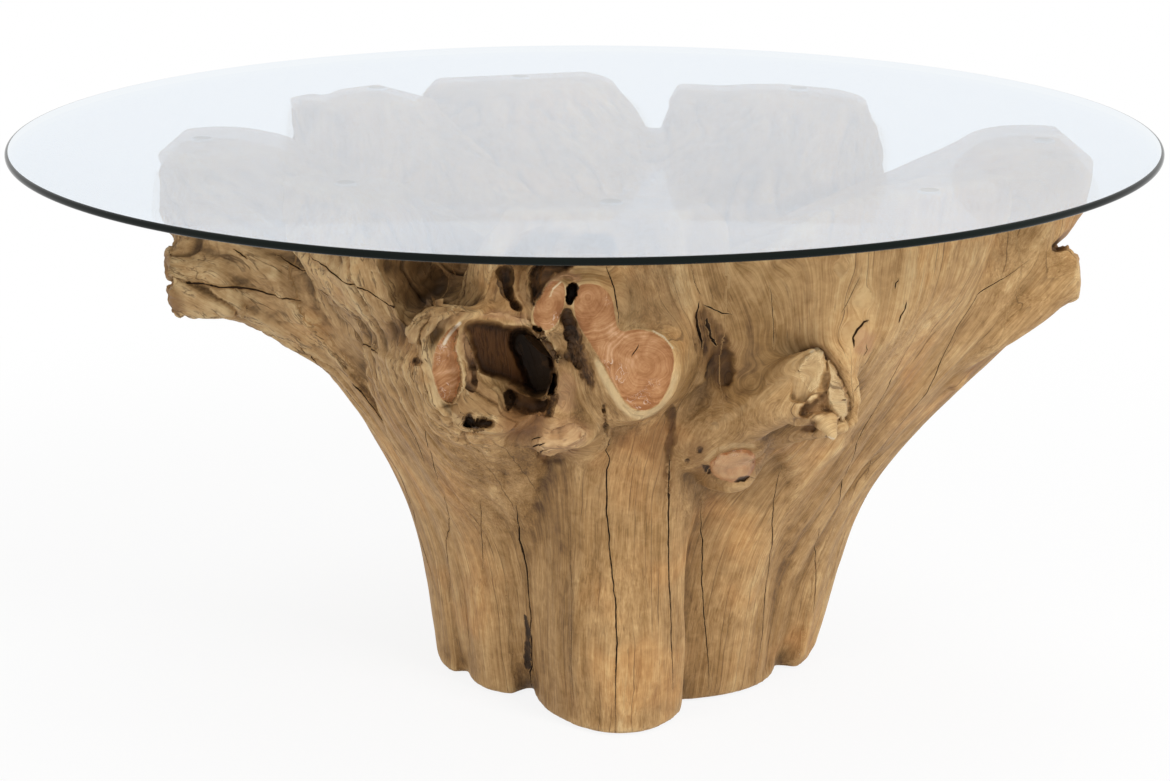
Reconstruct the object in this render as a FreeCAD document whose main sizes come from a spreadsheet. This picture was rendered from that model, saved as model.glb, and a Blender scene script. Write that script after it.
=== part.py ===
import FreeCAD, Part
import math
import os
import Sketcher
from FreeCAD import Placement, Rotation, Vector

# Round glass dining table on a base of root sections.
# Eight sawn root sections stand round a heart block, each glued and dowelled to it.
# The loose glass lies on a clear pad on top of every root.
# Frame: millimetres, +Z up, the floor at z = 0, the glass centred on the Z axis.

doc = FreeCAD.newDocument("root_table")
sheet = doc.addObject("Spreadsheet::Sheet", "sizes")

# Sizes that the whole table shares
TABLE = {
    "table_height": 760,
    "glass_diameter": 1600,
    "glass_thickness": 10,
    "glass_edge_round": 3,
    "pad_base_diameter": 32,
    "pad_top_diameter": 26,
    "pad_thickness": 3,
    "pad_inset": 45,
    "floor_pad_diameter": 60,
    "floor_pad_thickness": 3,
    "floor_pad_inset": 75,
    "stump_x": 55,
    "stump_y": -30,
    "heart_radius": 105,
    "heart_height": 555,
    "waist_height": 210,
    "waist_rise": 90,
    "shoulder_drop": 347,
    "elbow_drop": 227,
    "hollow_drop": 97,
    "rim_drop": 8,
    "core_reach": 80,
    "neck_reach": 60,
    "shin_share": 0.5,
    "rim_share": 0.55,
    "lump_share": 0.045,
    "dowel_diameter": 20,
    "dowel_length": 90,
    "dowel_chamfer": 2,
    "dowel_clearance": 0.1,
    "dowel_end_gap": 2,
    "dowel_low_height": 110,
    "dowel_high_height": 290,
}

# One entry for each root, in order round the stump. Angles are in degrees from +X.
# seam is the sawn face that it shares with the root before it. A reach is measured from the stump's axis.
# foot, waist, shoulder and elbow are the outer face's stations from the floor up, and tip is the sawn end.
ROOTS = {
    "front": dict(
        seam=229, heading=266, tip_heading=267, hollow_reach=170,
        foot_reach=344, foot_width=225, waist_reach=325, waist_width=255,
        shoulder_reach=345, shoulder_width=330, elbow_reach=390, elbow_width=380,
        rim_width=360, tip_reach=435, tip_width=300, tip_depth=140,
    ),
    "front_right": dict(
        seam=288, heading=318, tip_heading=321, hollow_reach=230,
        foot_reach=219, foot_width=320, waist_reach=258, waist_width=310,
        shoulder_reach=345, shoulder_width=400, elbow_reach=430, elbow_width=440,
        rim_width=420, tip_reach=550, tip_width=330, tip_depth=120,
    ),
    "right": dict(
        seam=345, heading=2, tip_heading=4, hollow_reach=250,
        foot_reach=246, foot_width=310, waist_reach=324, waist_width=320,
        shoulder_reach=472, shoulder_width=400, elbow_reach=588, elbow_width=410,
        rim_width=360, tip_reach=636, tip_width=250, tip_depth=95,
    ),
    "back_right": dict(
        seam=35, heading=60, tip_heading=60, hollow_reach=240,
        foot_reach=262, foot_width=260, waist_reach=290, waist_width=300,
        shoulder_reach=385, shoulder_width=380, elbow_reach=470, elbow_width=420,
        rim_width=370, tip_reach=590, tip_width=95, tip_depth=110,
    ),
    "back": dict(
        seam=85, heading=105, tip_heading=105, hollow_reach=250,
        foot_reach=250, foot_width=230, waist_reach=280, waist_width=270,
        shoulder_reach=375, shoulder_width=350, elbow_reach=480, elbow_width=400,
        rim_width=380, tip_reach=645, tip_width=265, tip_depth=120,
    ),
    "back_left": dict(
        seam=125, heading=142, tip_heading=128, hollow_reach=260,
        foot_reach=255, foot_width=220, waist_reach=283, waist_width=250,
        shoulder_reach=380, shoulder_width=330, elbow_reach=490, elbow_width=380,
        rim_width=340, tip_reach=650, tip_width=90, tip_depth=110,
    ),
    "left": dict(
        seam=160, heading=181, tip_heading=175, hollow_reach=270,
        foot_reach=260, foot_width=260, waist_reach=306, waist_width=300,
        shoulder_reach=403, shoulder_width=380, elbow_reach=500, elbow_width=400,
        rim_width=370, tip_reach=640, tip_width=200, tip_depth=115,
    ),
    "front_left": dict(
        seam=200, heading=212, tip_heading=216, hollow_reach=230,
        foot_reach=247, foot_width=210, waist_reach=272, waist_width=250,
        shoulder_reach=345, shoulder_width=320, elbow_reach=420, elbow_width=330,
        rim_width=280, tip_reach=500, tip_width=200, tip_depth=120,
    ),
}

# A second limb that leaves a root between its shoulder and its elbow.
# top_drop and bottom_drop place its sawn end below the top of the roots.
PRONGS = {
    "left": dict(heading=189, reach=638, width=105, top_drop=122, bottom_drop=204),
    "right": dict(heading=351, reach=634, width=72, top_drop=127, bottom_drop=194),
    "back_right": dict(heading=74, reach=545, width=140, top_drop=-40, bottom_drop=120),
    "back_left": dict(heading=138.5, reach=650, width=62, top_drop=-40, bottom_drop=115),
}

# Sawn or broken branch stubs, each a short taper from inside its root to its face.
# heading and reach place the two ends, and drop is how far they lie below the top of the roots.
STUBS = {
    "front": {
        "knot": dict(heading=270.5, face_heading=270.5, reach=300, face_reach=458, drop=215, face_drop=207,
                     width=200, height=200, face_width=142, face_height=124),
        "upper_knot": dict(heading=263, face_heading=265, reach=310, face_reach=458, drop=140, face_drop=126,
                           width=120, height=140, face_width=78, face_height=92),
        "side_knot": dict(heading=255, face_heading=258, reach=320, face_reach=455, drop=130, face_drop=119,
                          width=80, height=100, face_width=48, face_height=76),
        "hollow_knot": dict(heading=242, face_heading=247, reach=280, face_reach=440, drop=230, face_drop=217,
                            width=220, height=230, face_width=158, face_height=164),
        "rough_knot": dict(heading=258, face_heading=259.5, reach=290, face_reach=412,
                           drop=290, face_drop=302,
                           width=120, height=100, face_width=72, face_height=46),
    },
    "front_right": {
        "fork": dict(heading=300, face_heading=306, reach=230, face_reach=480, drop=300, face_drop=244,
                     width=170, height=170, face_width=78, face_height=112),
        "fork_knob": dict(heading=299, face_heading=295, reach=240, face_reach=360, drop=330, face_drop=350,
                          width=120, height=120, face_width=66, face_height=62),
    },
}

# The rotted-out inside of the hollow knot, and the hole beside the upper knot
CAVITIES = {
    "front": {
        "cavity": dict(heading=252, face_heading=250, reach=300, face_reach=470, drop=222, face_drop=217,
                       width=60, height=76, face_width=112, face_height=126),
        "worm_hole": dict(heading=261.6, face_heading=261.6, reach=390, face_reach=480,
                          drop=119, face_drop=119,
                          width=14, height=30, face_width=18, face_height=36),
    },
}

# How the skins are drawn: points and lumps round an oval, and faces along a skin
POINTS_ROUND = 12
LUMPS_ROUND = 3
LUMP_TURN = 0.8
PATCHES = 4

# How much of the turn from a root's heading to its tip is done at each station
SHOULDER_TURN = 1 / 3
ELBOW_TURN = 2 / 3
RIM_TURN = 5 / 6

# A prong's own form: its swell at the root and half way, and the rise, sag and lean of its stations
PRONG_ROOT_SWELL = 1.3
PRONG_MIDDLE_SWELL = 1.15
PRONG_ROOT_RISE = 0.25
PRONG_SAG = 0.6
PRONG_LEAN = 1 / 3

# Wood past the saw cuts, which they take away, and a reach beyond every root
TRIM = 50
FAR = 1500
HEIGHT_TOLERANCE = 0.01


def fill_sheet():
    groups = [("", TABLE)]
    groups += [(root + "_", values) for root, values in ROOTS.items()]
    groups += [(root + "_prong_", values) for root, values in PRONGS.items()]
    for kind in (STUBS, CAVITIES):
        for root, stubs in kind.items():
            groups += [(root + "_" + name + "_", values) for name, values in stubs.items()]
    row = 1
    for prefix, values in groups:
        for name, value in values.items():
            sheet.set("A%d" % row, prefix + name)
            sheet.set("B%d" % row, str(value))
            sheet.setAlias("B%d" % row, prefix + name)
            row += 1
    doc.recompute()


def size(alias):
    return float(sheet.get(alias))


fill_sheet()
ROOT_TOP = "sizes.table_height - sizes.glass_thickness - sizes.pad_thickness"
FOOT = size("floor_pad_thickness")
TOP = size("table_height") - size("glass_thickness") - size("pad_thickness")
AXIS = Vector(size("stump_x"), size("stump_y"), 0)
NAMES = list(ROOTS)
nodes = {}


def keep(obj, label):
    obj.Label = label
    nodes[label] = obj


def polar(angle, reach, height=0.0):
    turn = math.radians(angle)
    return AXIS + Vector(reach * math.cos(turn), reach * math.sin(turn), height)


def sideways(angle):
    turn = math.radians(angle)
    return Vector(-math.sin(turn), math.cos(turn), 0)


def between(start, end, share):
    return start + (end - start) * share


# The points of a closed, slightly lumpy oval, from the far end of half_a round to it again
def oval(middle, half_a, half_b, phase):
    lumps = size("lump_share")
    points = []
    for step in range(POINTS_ROUND + 1):
        turn = math.pi + 2 * math.pi * (step % POINTS_ROUND) / POINTS_ROUND
        grow = 1 + lumps * math.sin(LUMPS_ROUND * turn + phase)
        points.append(middle + half_a * (math.cos(turn) * grow) + half_b * (math.sin(turn) * grow))
    return points


# An oval in the plane of a root, from its outer point to its inner point, each a (reach, height) pair
def station(heading, outer, inner, width, phase):
    low = polar(heading, *outer)
    high = polar(heading, *inner)
    return oval((low + high) * 0.5, (low - high) * 0.5, sideways(heading) * (width / 2), phase)


# A closed solid with one smooth skin through all its ovals and a flat face over the first and the last.
# The skin is split along its length into patches, so that no face closes on itself.
def loft(ovals):
    surface = Part.BSplineSurface()
    surface.interpolate(ovals)
    first, last, low, high = surface.bounds()
    cuts = [between(low, high, patch / PATCHES) for patch in range(PATCHES + 1)]
    spans = list(zip(cuts, cuts[1:]))
    faces = []
    for span in spans:
        patch = surface.copy()
        patch.segment(first, last, *span)
        faces.append(patch.toShape())
    for end in (first, last):
        rim = surface.uIso(end)
        faces.append(Part.Face(Part.Wire([rim.toShape(*span) for span in spans])))
    shell = Part.Shell(faces)
    shell.sewShape()
    solid = Part.Solid(shell)
    if solid.Volume < 0:
        solid.reverse()
    return solid


# The root itself, from its foot up the stump and out to its sawn tip
def limb(root, phase):
    def own(name):
        return size(root + "_" + name)

    heading, tip_heading = own("heading"), own("tip_heading")
    turn = tip_heading - heading
    core, rise = size("core_reach"), size("waist_rise")
    waist = size("waist_height")
    shoulder, elbow = TOP - size("shoulder_drop"), TOP - size("elbow_drop")
    shin = size("shin_share")
    shin_width = between(own("foot_width"), own("waist_width"), shin)
    shin_outer = (between(own("foot_reach"), own("waist_reach"), shin), between(FOOT - TRIM, waist, shin))
    shin_inner = (-core, between(FOOT - TRIM, waist + rise, shin))
    rim = size("rim_share")
    rim_height = between(elbow, TOP - own("tip_depth"), rim)
    rim_outer = (between(own("elbow_reach"), own("tip_reach"), rim), rim_height)
    rim_inner = (between(own("hollow_reach"), own("tip_reach"), rim), TOP - size("rim_drop"))
    return loft([
        station(heading, (own("foot_reach"), FOOT - TRIM), (-core, FOOT - TRIM), own("foot_width"), phase),
        station(heading, shin_outer, shin_inner, shin_width, phase),
        station(heading, (own("waist_reach"), waist), (-core, waist + rise), own("waist_width"), phase),
        station(heading + turn * SHOULDER_TURN, (own("shoulder_reach"), shoulder),
                (size("neck_reach"), size("heart_height") + FOOT), own("shoulder_width"), phase),
        station(heading + turn * ELBOW_TURN, (own("elbow_reach"), elbow),
                (own("hollow_reach"), TOP - size("hollow_drop")), own("elbow_width"), phase),
        station(heading + turn * RIM_TURN, rim_outer, rim_inner, own("rim_width"), phase),
        station(tip_heading, (own("tip_reach"), TOP - own("tip_depth")),
                (own("tip_reach"), TOP + TRIM), own("tip_width"), phase),
    ])


# A prong grows out of its root's shoulder, inside the root's own outline
def prong(root, phase):
    def own(name):
        return size(root + "_prong_" + name)

    heading, reach = own("heading"), own("reach")
    shoulder, elbow = TOP - size("shoulder_drop"), TOP - size("elbow_drop")
    start = size(root + "_shoulder_reach")
    middle = (start + reach) / 2
    tip_middle = TOP - (own("top_drop") + own("bottom_drop")) / 2
    depth = own("bottom_drop") - own("top_drop")
    rise = (elbow + tip_middle) / 2
    return loft([
        station(heading, (start, shoulder + depth * PRONG_ROOT_RISE), (start - depth, elbow),
                own("width") * PRONG_ROOT_SWELL, phase),
        station(heading, (middle, rise - depth * PRONG_SAG), (middle - depth * PRONG_LEAN, rise + depth / 2),
                own("width") * PRONG_MIDDLE_SWELL, phase),
        station(heading, (reach, TOP - own("bottom_drop")), (reach, TOP - own("top_drop")),
                own("width"), phase),
    ])


# A branch stub, or a hole of that form
def stub(prefix, phase):
    def own(name):
        return size(prefix + name)

    start = polar(own("heading"), own("reach"), TOP - own("drop"))
    face = polar(own("face_heading"), own("face_reach"), TOP - own("face_drop"))
    along = (face - start).normalize()
    across = Vector(0, 0, 1).cross(along).normalize()
    upward = along.cross(across)
    return loft([
        oval(start, across * (own("width") / 2), upward * (own("height") / 2), phase),
        oval(face, across * (own("face_width") / 2), upward * (own("face_height") / 2), phase),
    ])


def feature(name, shape):
    obj = doc.addObject("Part::Feature", name)
    obj.Shape = shape
    return obj


def boolean(kind, name, base, tool):
    obj = doc.addObject(kind, name)
    obj.Base, obj.Tool = base, tool
    return obj


def fused(name, pieces):
    if len(pieces) == 1:
        return pieces[0]
    obj = doc.addObject("Part::MultiFuse", name)
    obj.Shapes = pieces
    return obj


# A prism over a ring of corners, from the foot of the roots to a bound height
def prism(name, corners, height):
    outline = feature(name + "_outline", Part.makePolygon(corners + corners[:1]))
    obj = doc.addObject("Part::Extrusion", name)
    obj.Base = outline
    obj.DirMode = "Custom"
    obj.Dir = Vector(0, 0, 1)
    obj.Solid = True
    obj.setExpression("LengthFwd", height)
    return obj


def seams(index):
    start = size(NAMES[index] + "_seam")
    end = size(NAMES[(index + 1) % len(NAMES)] + "_seam")
    return start, end if end > start else end + 360


# A round pin centred on a point, along a direction
def pin(name, centre, direction, radius, length):
    obj = doc.addObject("Part::Cylinder", name)
    obj.setExpression("Radius", radius)
    obj.setExpression("Height", length)
    doc.recompute()
    start = centre - direction * (obj.Height.Value / 2)
    obj.Placement = Placement(start, Rotation(Vector(0, 0, 1), direction))
    return obj


# The middles of a root's two dowels, on its face against the heart, with the way that they point
def dowel_places(index):
    start, end = seams(index)
    middle = (start + end) / 2
    face = size("heart_radius") * math.cos(math.radians(end - start) / 2)
    direction = polar(middle, 1) - AXIS
    heights = size("dowel_low_height"), size("dowel_high_height")
    return [(polar(middle, face, height), direction) for height in heights]


def dowel_holes(index):
    holes = []
    for count, (centre, direction) in enumerate(dowel_places(index)):
        holes.append(pin("%s_hole_%d" % (NAMES[index], count), centre, direction,
                         "sizes.dowel_diameter / 2 + sizes.dowel_clearance",
                         "sizes.dowel_length + 2 * sizes.dowel_end_gap"))
    group = doc.addObject("Part::Compound", NAMES[index] + "_holes")
    group.Links = holes
    return group


def make_dowels(index):
    dowels = []
    for count, (centre, direction) in enumerate(dowel_places(index)):
        round_bar = pin("%s_bar_%d" % (NAMES[index], count), centre, direction,
                        "sizes.dowel_diameter / 2", "sizes.dowel_length")
        dowel = doc.addObject("Part::Chamfer", "%s_dowel_%d" % (NAMES[index], count))
        dowel.Base = round_bar
        rims = [n + 1 for n, edge in enumerate(round_bar.Shape.Edges) if edge.Closed]
        chamfer = size("dowel_chamfer")
        dowel.Edges = [(n, chamfer, chamfer) for n in rims]
        dowels.append(dowel)
    group = doc.addObject("Part::Compound", NAMES[index] + "_dowel_pair")
    group.Links = dowels
    keep(group, NAMES[index] + "_root_dowels")


# The root's own outline with its prong and stubs, cut to its place between two seams and the heart
def make_root(index, holes):
    root = NAMES[index]
    phase = index * LUMP_TURN
    pieces = [feature(root + "_limb", limb(root, phase))]
    if root in PRONGS:
        pieces.append(feature(root + "_prong", prong(root, phase)))
    for name in STUBS.get(root, {}):
        pieces.append(feature(root + "_" + name, stub(root + "_" + name + "_", phase)))
    form = fused(root + "_grown", pieces)
    for name in CAVITIES.get(root, {}):
        tool = feature(root + "_" + name, stub(root + "_" + name + "_", phase))
        form = boolean("Part::Cut", root + "_less_" + name, form, tool)
    start, end = seams(index)
    heart = size("heart_radius")
    places = (start, heart), (start, FAR), (end, FAR), (end, heart)
    corners = [polar(angle, reach, FOOT) for angle, reach in places]
    wedge = prism(root + "_wedge", corners, "%s - sizes.floor_pad_thickness" % ROOT_TOP)
    sawn = boolean("Part::Common", root + "_sawn", form, wedge)
    keep(boolean("Part::Cut", root + "_drilled", sawn, holes), root + "_root")


def make_heart(holes):
    corners = [polar(size(root + "_seam"), size("heart_radius"), FOOT) for root in NAMES]
    block = prism("heart_form", corners, "sizes.heart_height")
    drilled = doc.addObject("Part::Compound", "heart_holes")
    drilled.Links = holes
    keep(boolean("Part::Cut", "heart_drilled", block, drilled), "heart_block")


def place(obj, angle, reach, height):
    for axis, turn in (("x", "cos"), ("y", "sin")):
        obj.setExpression("Placement.Base." + axis,
                          "sizes.stump_%s + (%s) * %s(%s * 1deg)" % (axis, reach, turn, angle))
    obj.setExpression("Placement.Base.z", height)


# A clear bumper on the sawn top of a root, for the glass to lie on
def make_glass_pad(root):
    pad = doc.addObject("Part::Cone", root + "_bumper")
    pad.setExpression("Radius1", "sizes.pad_base_diameter / 2")
    pad.setExpression("Radius2", "sizes.pad_top_diameter / 2")
    pad.setExpression("Height", "sizes.pad_thickness")
    place(pad, "sizes.%s_tip_heading" % root, "sizes.%s_tip_reach - sizes.pad_inset" % root, ROOT_TOP)
    keep(pad, "glass_pad_" + root)


# A felt disc under the foot of a root
def make_floor_pad(root):
    pad = doc.addObject("Part::Cylinder", root + "_felt")
    pad.setExpression("Radius", "sizes.floor_pad_diameter / 2")
    pad.setExpression("Height", "sizes.floor_pad_thickness")
    place(pad, "sizes.%s_heading" % root, "sizes.%s_foot_reach - sizes.floor_pad_inset" % root, "0")
    keep(pad, "floor_pad_" + root)


def make_glass():
    body = doc.addObject("PartDesign::Body", "glass_body")
    outline = body.newObject("Sketcher::SketchObject", "glass_outline")
    plane = next(f for f in body.Origin.OriginFeatures if f.Role == "XY_Plane")
    outline.AttachmentSupport = [(plane, "")]
    outline.MapMode = "FlatFace"
    outline.setExpression("AttachmentOffset.Base.z", "sizes.table_height - sizes.glass_thickness")
    outline.addGeometry(Part.Circle(Vector(0, 0, 0), Vector(0, 0, 1), size("glass_diameter") / 2))
    outline.addConstraint(Sketcher.Constraint("Coincident", 0, 3, -1, 1))
    outline.addConstraint(Sketcher.Constraint("Diameter", 0, size("glass_diameter")))
    outline.setExpression("Constraints[1]", "sizes.glass_diameter")
    disc = body.newObject("PartDesign::Pad", "glass_disc")
    disc.Profile = outline
    disc.setExpression("Length", "sizes.glass_thickness")
    doc.recompute()
    edge = body.newObject("PartDesign::Fillet", "glass_edge")
    rims = ["Edge%d" % (n + 1) for n, e in enumerate(disc.Shape.Edges) if e.Closed]
    edge.Base = (disc, rims)
    edge.setExpression("Radius", "sizes.glass_edge_round")
    keep(body, "glass_top")


def check():
    doc.recompute()
    for obj in doc.Objects:
        if {"Invalid", "Error"} & set(obj.State):
            raise RuntimeError("%s is %s" % (obj.Name, obj.State))
    for label, obj in nodes.items():
        shape = obj.Shape
        if shape.isNull() or not shape.isValid() or not shape.Solids:
            raise RuntimeError("%s has no valid solid" % label)
    for root in NAMES:
        corners = [corner.Z for corner in nodes[root + "_root"].Shape.Vertexes]
        height = max(corners) - min(corners)
        if abs(height - (TOP - FOOT)) > HEIGHT_TOLERANCE:
            raise RuntimeError("%s_root is %.2f mm high" % (root, height))


def write():
    os.makedirs("parts", exist_ok=True)
    for label, obj in nodes.items():
        obj.Shape.exportStep("parts/%s.step" % label)
        print(label, len(obj.Shape.Solids), "solids, %.4f litres" % (obj.Shape.Volume / 1e6))


make_glass()
all_holes = []
for count, name in enumerate(NAMES):
    root_holes = dowel_holes(count)
    all_holes.append(root_holes)
    make_root(count, root_holes)
    make_dowels(count)
    make_glass_pad(name)
    make_floor_pad(name)
make_heart(all_holes)
check()
write()
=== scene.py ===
import math
import bmesh
import bpy
import numpy as np
from mathutils import Matrix, Vector
from mathutils.bvhtree import BVHTree


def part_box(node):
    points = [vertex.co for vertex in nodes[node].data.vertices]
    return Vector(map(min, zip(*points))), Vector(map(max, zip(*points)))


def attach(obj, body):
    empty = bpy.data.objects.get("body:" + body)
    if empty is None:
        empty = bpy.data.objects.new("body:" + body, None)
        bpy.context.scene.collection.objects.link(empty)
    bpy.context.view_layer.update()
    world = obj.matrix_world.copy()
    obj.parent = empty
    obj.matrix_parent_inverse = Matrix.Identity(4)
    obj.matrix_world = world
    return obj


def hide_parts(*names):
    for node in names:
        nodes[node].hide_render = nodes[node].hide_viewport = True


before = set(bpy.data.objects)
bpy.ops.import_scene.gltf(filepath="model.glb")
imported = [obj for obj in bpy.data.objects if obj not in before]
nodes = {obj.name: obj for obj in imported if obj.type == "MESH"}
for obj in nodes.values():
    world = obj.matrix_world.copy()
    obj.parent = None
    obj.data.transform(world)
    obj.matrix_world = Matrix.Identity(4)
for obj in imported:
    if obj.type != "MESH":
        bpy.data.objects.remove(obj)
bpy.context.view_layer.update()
print("frame:", len(nodes), "nodes")


# shader maths: a Wire is one socket, and sums on wires add Math nodes
class Wire:
    def __init__(self, socket):
        self.socket = socket
        self.tree = socket.id_data

    def math(self, operation, *others):
        return node(self.tree, "ShaderNodeMath", {"operation": operation}, dict(enumerate((self, *others))))

    def __add__(self, other):
        return self.math("ADD", other)

    __radd__ = __add__

    def __sub__(self, other):
        return self.math("SUBTRACT", other)

    def __rsub__(self, other):
        return node(self.tree, "ShaderNodeMath", {"operation": "SUBTRACT"}, {0: other, 1: self})

    def __mul__(self, other):
        return self.math("MULTIPLY", other)

    __rmul__ = __mul__

    def smooth(self, low, high):    # 0 below low, 1 above high, eased between
        return node(self.tree, "ShaderNodeMapRange", {"interpolation_type": "SMOOTHSTEP"},
                    {"Value": self, "From Min": low, "From Max": high})


# any node: its settings first, then its sockets by name or number
def node(tree, kind, settings=None, sockets=None, output=0):
    made = tree.nodes.new(kind)
    for name, value in (settings or {}).items():
        if name == "stops":
            ramp = made.color_ramp.elements
            while len(ramp) < len(value):
                ramp.new(1)
            for spot, (place, colour) in zip(ramp, value):
                spot.position, spot.color = place, (*colour, 1)
        else:
            setattr(made, name, value)
    for name, value in (sockets or {}).items():
        if isinstance(value, Wire):
            tree.links.new(value.socket, made.inputs[name])
        else:
            made.inputs[name].default_value = value
    return Wire(made.outputs[output])


def blend(tree, share, first, second, mode="MIX"):
    return node(tree, "ShaderNodeMix", {"data_type": "RGBA", "blend_type": mode},
                {0: share, 6: first, 7: second}, 2)


def srgb(red, green, blue):    # a colour as a screen shows it, 0 to 255
    parts = [part / 255 for part in (red, green, blue)]
    return (*[part / 12.92 if part <= 0.04045 else ((part + 0.055) / 1.055) ** 2.4 for part in parts], 1)


def newMaterial(name):
    made = bpy.data.materials.new(name)
    made.use_nodes = True
    made.node_tree.nodes.clear()
    return made, made.node_tree


def objectSpot(tree):
    return node(tree, "ShaderNodeTexCoord", None, None, 3)


def noise(tree, vector, scale, detail, roughness, distortion=0.0):
    return node(tree, "ShaderNodeTexNoise", {"noise_dimensions": "3D"},
                {"Vector": vector, "Scale": scale, "Detail": detail, "Roughness": roughness,
                 "Distortion": distortion})


def bumpOf(tree, height, strength, distance):
    return node(tree, "ShaderNodeBump", None, {"Strength": strength, "Distance": distance, "Height": height})


def principled(tree, sockets):
    return node(tree, "ShaderNodeBsdfPrincipled", None, sockets)


def finishMaterial(tree, shader):
    out = tree.nodes.new("ShaderNodeOutputMaterial")
    tree.links.new(shader.socket, out.inputs["Surface"])


# one cloudy noise between two colours, and its bump as strength and distance
def plainMaterial(name, cloud, colours, roughness, bump=None):
    made, tree = newMaterial(name)
    share = noise(tree, objectSpot(tree), *cloud)
    sockets = {"Base Color": blend(tree, share, *colours), "Roughness": roughness}
    if bump:
        sockets["Normal"] = bumpOf(tree, share, *bump)
    finishMaterial(tree, principled(tree, sockets))
    return made


def shaded(mesh, sharpest=math.radians(42)):
    mesh.shade_smooth()
    mesh.set_sharp_from_angle(angle=sharpest)


def placed(name, data):
    made = bpy.data.objects.new(name, data)
    bpy.context.scene.collection.objects.link(made)
    return made


def newPiece(name, mesh, body):
    made = placed(name, mesh)
    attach(made, body)
    return made


def meshFrom(bm, name):
    made = bpy.data.meshes.new(name)
    bm.to_mesh(made)
    bm.free()
    return made


def withModifier(mesh, kind, **settings):
    holder = placed("holder", mesh)
    step = holder.modifiers.new("step", kind)
    for name, value in settings.items():
        setattr(step, name, value)
    graph = bpy.context.evaluated_depsgraph_get()
    made = bpy.data.meshes.new_from_object(holder.evaluated_get(graph))
    bpy.data.objects.remove(holder)
    return made


def remeshed(mesh, voxel):
    return withModifier(mesh, "REMESH", mode="VOXEL", voxel_size=voxel, use_smooth_shade=True)


def joined(*meshes):
    bm = bmesh.new()
    for mesh in meshes:
        bm.from_mesh(mesh)
    return meshFrom(bm, "joined")


# the mesh as arrays, for sculpting
def places(mesh):
    co = np.empty(len(mesh.vertices) * 3, np.float32)
    mesh.vertices.foreach_get("co", co)
    return co.reshape(-1, 3).astype(float)


def outward(mesh):
    way = np.empty(len(mesh.vertices) * 3, np.float32)
    mesh.vertex_normals.foreach_get("vector", way)
    return way.reshape(-1, 3).astype(float)


def movedTo(mesh, co):
    mesh.vertices.foreach_set("co", co.astype(np.float32).ravel())
    mesh.update()


def edgeEnds(mesh):
    ends = np.empty(len(mesh.edges) * 2, np.int32)
    mesh.edges.foreach_get("vertices", ends)
    return ends.reshape(-1, 2)


def neighbourMean(values, ends):
    count = len(values)
    near = np.concatenate((ends[:, 0], ends[:, 1]))
    far = np.concatenate((ends[:, 1], ends[:, 0]))
    degree = np.maximum(np.bincount(near, minlength=count), 1)
    return np.stack([np.bincount(near, values[far, k], count) / degree for k in range(3)], 1)


def relaxed(co, ends, steps, share):
    for _ in range(steps):
        co = co + (neighbourMean(co, ends) - co) * share
    return co


def ease(value, low, high):
    part = np.clip((value - low) / (high - low), 0, 1)
    return part * part * (3 - 2 * part)


def cellCorners(part):    # steps to the eight corners of a cell, and their weights
    for number in range(8):
        step = np.array([number & 1, number >> 1 & 1, number >> 2 & 1])
        yield step, np.where(step, part, 1 - part).prod(1)


def lattice(point, seed):    # smooth noise from -1 to 1 on a unit lattice
    cell = np.floor(point).astype(np.int64)
    part = point - cell
    total = np.zeros(len(point))
    for step, weight in cellCorners(part * part * (3 - 2 * part)):
        at = (cell + step) * np.array([73856093, 19349663, 83492791])
        mixed = (at[:, 0] ^ at[:, 1] ^ at[:, 2] ^ seed * 2654435761) & 0xFFFFFFFF
        mixed = ((mixed ^ mixed >> 15) * 2246822519) & 0xFFFFFFFF
        mixed = ((mixed ^ mixed >> 13) * 3266489917) & 0xFFFFFFFF
        total += (((mixed ^ mixed >> 16) & 0xFFFF) / 32767.5 - 1) * weight
    return total


# where the photograph was taken from
cameraSet = {"place": (0.0008, -4.5, 1.586), "pitch": 14.906, "focalPixels": 3261.3, "imageWidth": 1170,
             "imageHeight": 781}
tilt = math.radians(cameraSet["pitch"])
cameraForward = Vector((0, math.cos(tilt), -math.sin(tilt)))
cameraUp = Vector((0, math.sin(tilt), math.cos(tilt)))


def cameraRay(pixel):
    across = (pixel[0] - cameraSet["imageWidth"] / 2) / cameraSet["focalPixels"]
    down = (pixel[1] - cameraSet["imageHeight"] / 2) / cameraSet["focalPixels"]
    way = cameraForward + Vector((across, 0, 0)) - cameraUp * down
    return Vector(cameraSet["place"]), way.normalized()


def pixelSpot(pixel, depth):    # the place on a pixel's ray at this y
    start, way = cameraRay(pixel)
    return start + way * ((depth - start.y) / way.y)


def pixelsOf(co):    # where the photograph shows these places, and metres for a pixel there
    off = co - np.array(cameraSet["place"])
    far = off @ np.array(cameraForward)
    across = cameraSet["imageWidth"] / 2 + cameraSet["focalPixels"] * off[:, 0] / far
    down = cameraSet["imageHeight"] / 2 - cameraSet["focalPixels"] * (off @ np.array(cameraUp)) / far
    return np.stack((across, down), 1), far / cameraSet["focalPixels"]


def lineGap(at, points):    # distance to a line of points, and the share along its nearest stretch
    best = np.full(len(at), 1e9)
    stretch = np.zeros(len(at), int)
    share = np.zeros(len(at))
    for count, (start, end) in enumerate(zip(points, points[1:])):
        along = end - start
        part = np.clip((at - start) @ along / max(along @ along, 1e-12), 0, 1)
        gap = np.linalg.norm(at - start - part[:, None] * along, axis=1)
        closer = gap < best
        best[closer] = gap[closer]
        stretch[closer] = count
        share[closer] = part[closer]
    return best, stretch, share


def rounded(points):    # a closed outline with its corners cut twice
    points = np.array(points, float)
    for _ in range(2):
        following = np.roll(points, -1, 0)
        nearer = points * 0.75 + following * 0.25
        farther = points * 0.25 + following * 0.75
        points = np.stack((nearer, farther), 1).reshape(-1, 2)
    return points


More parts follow.
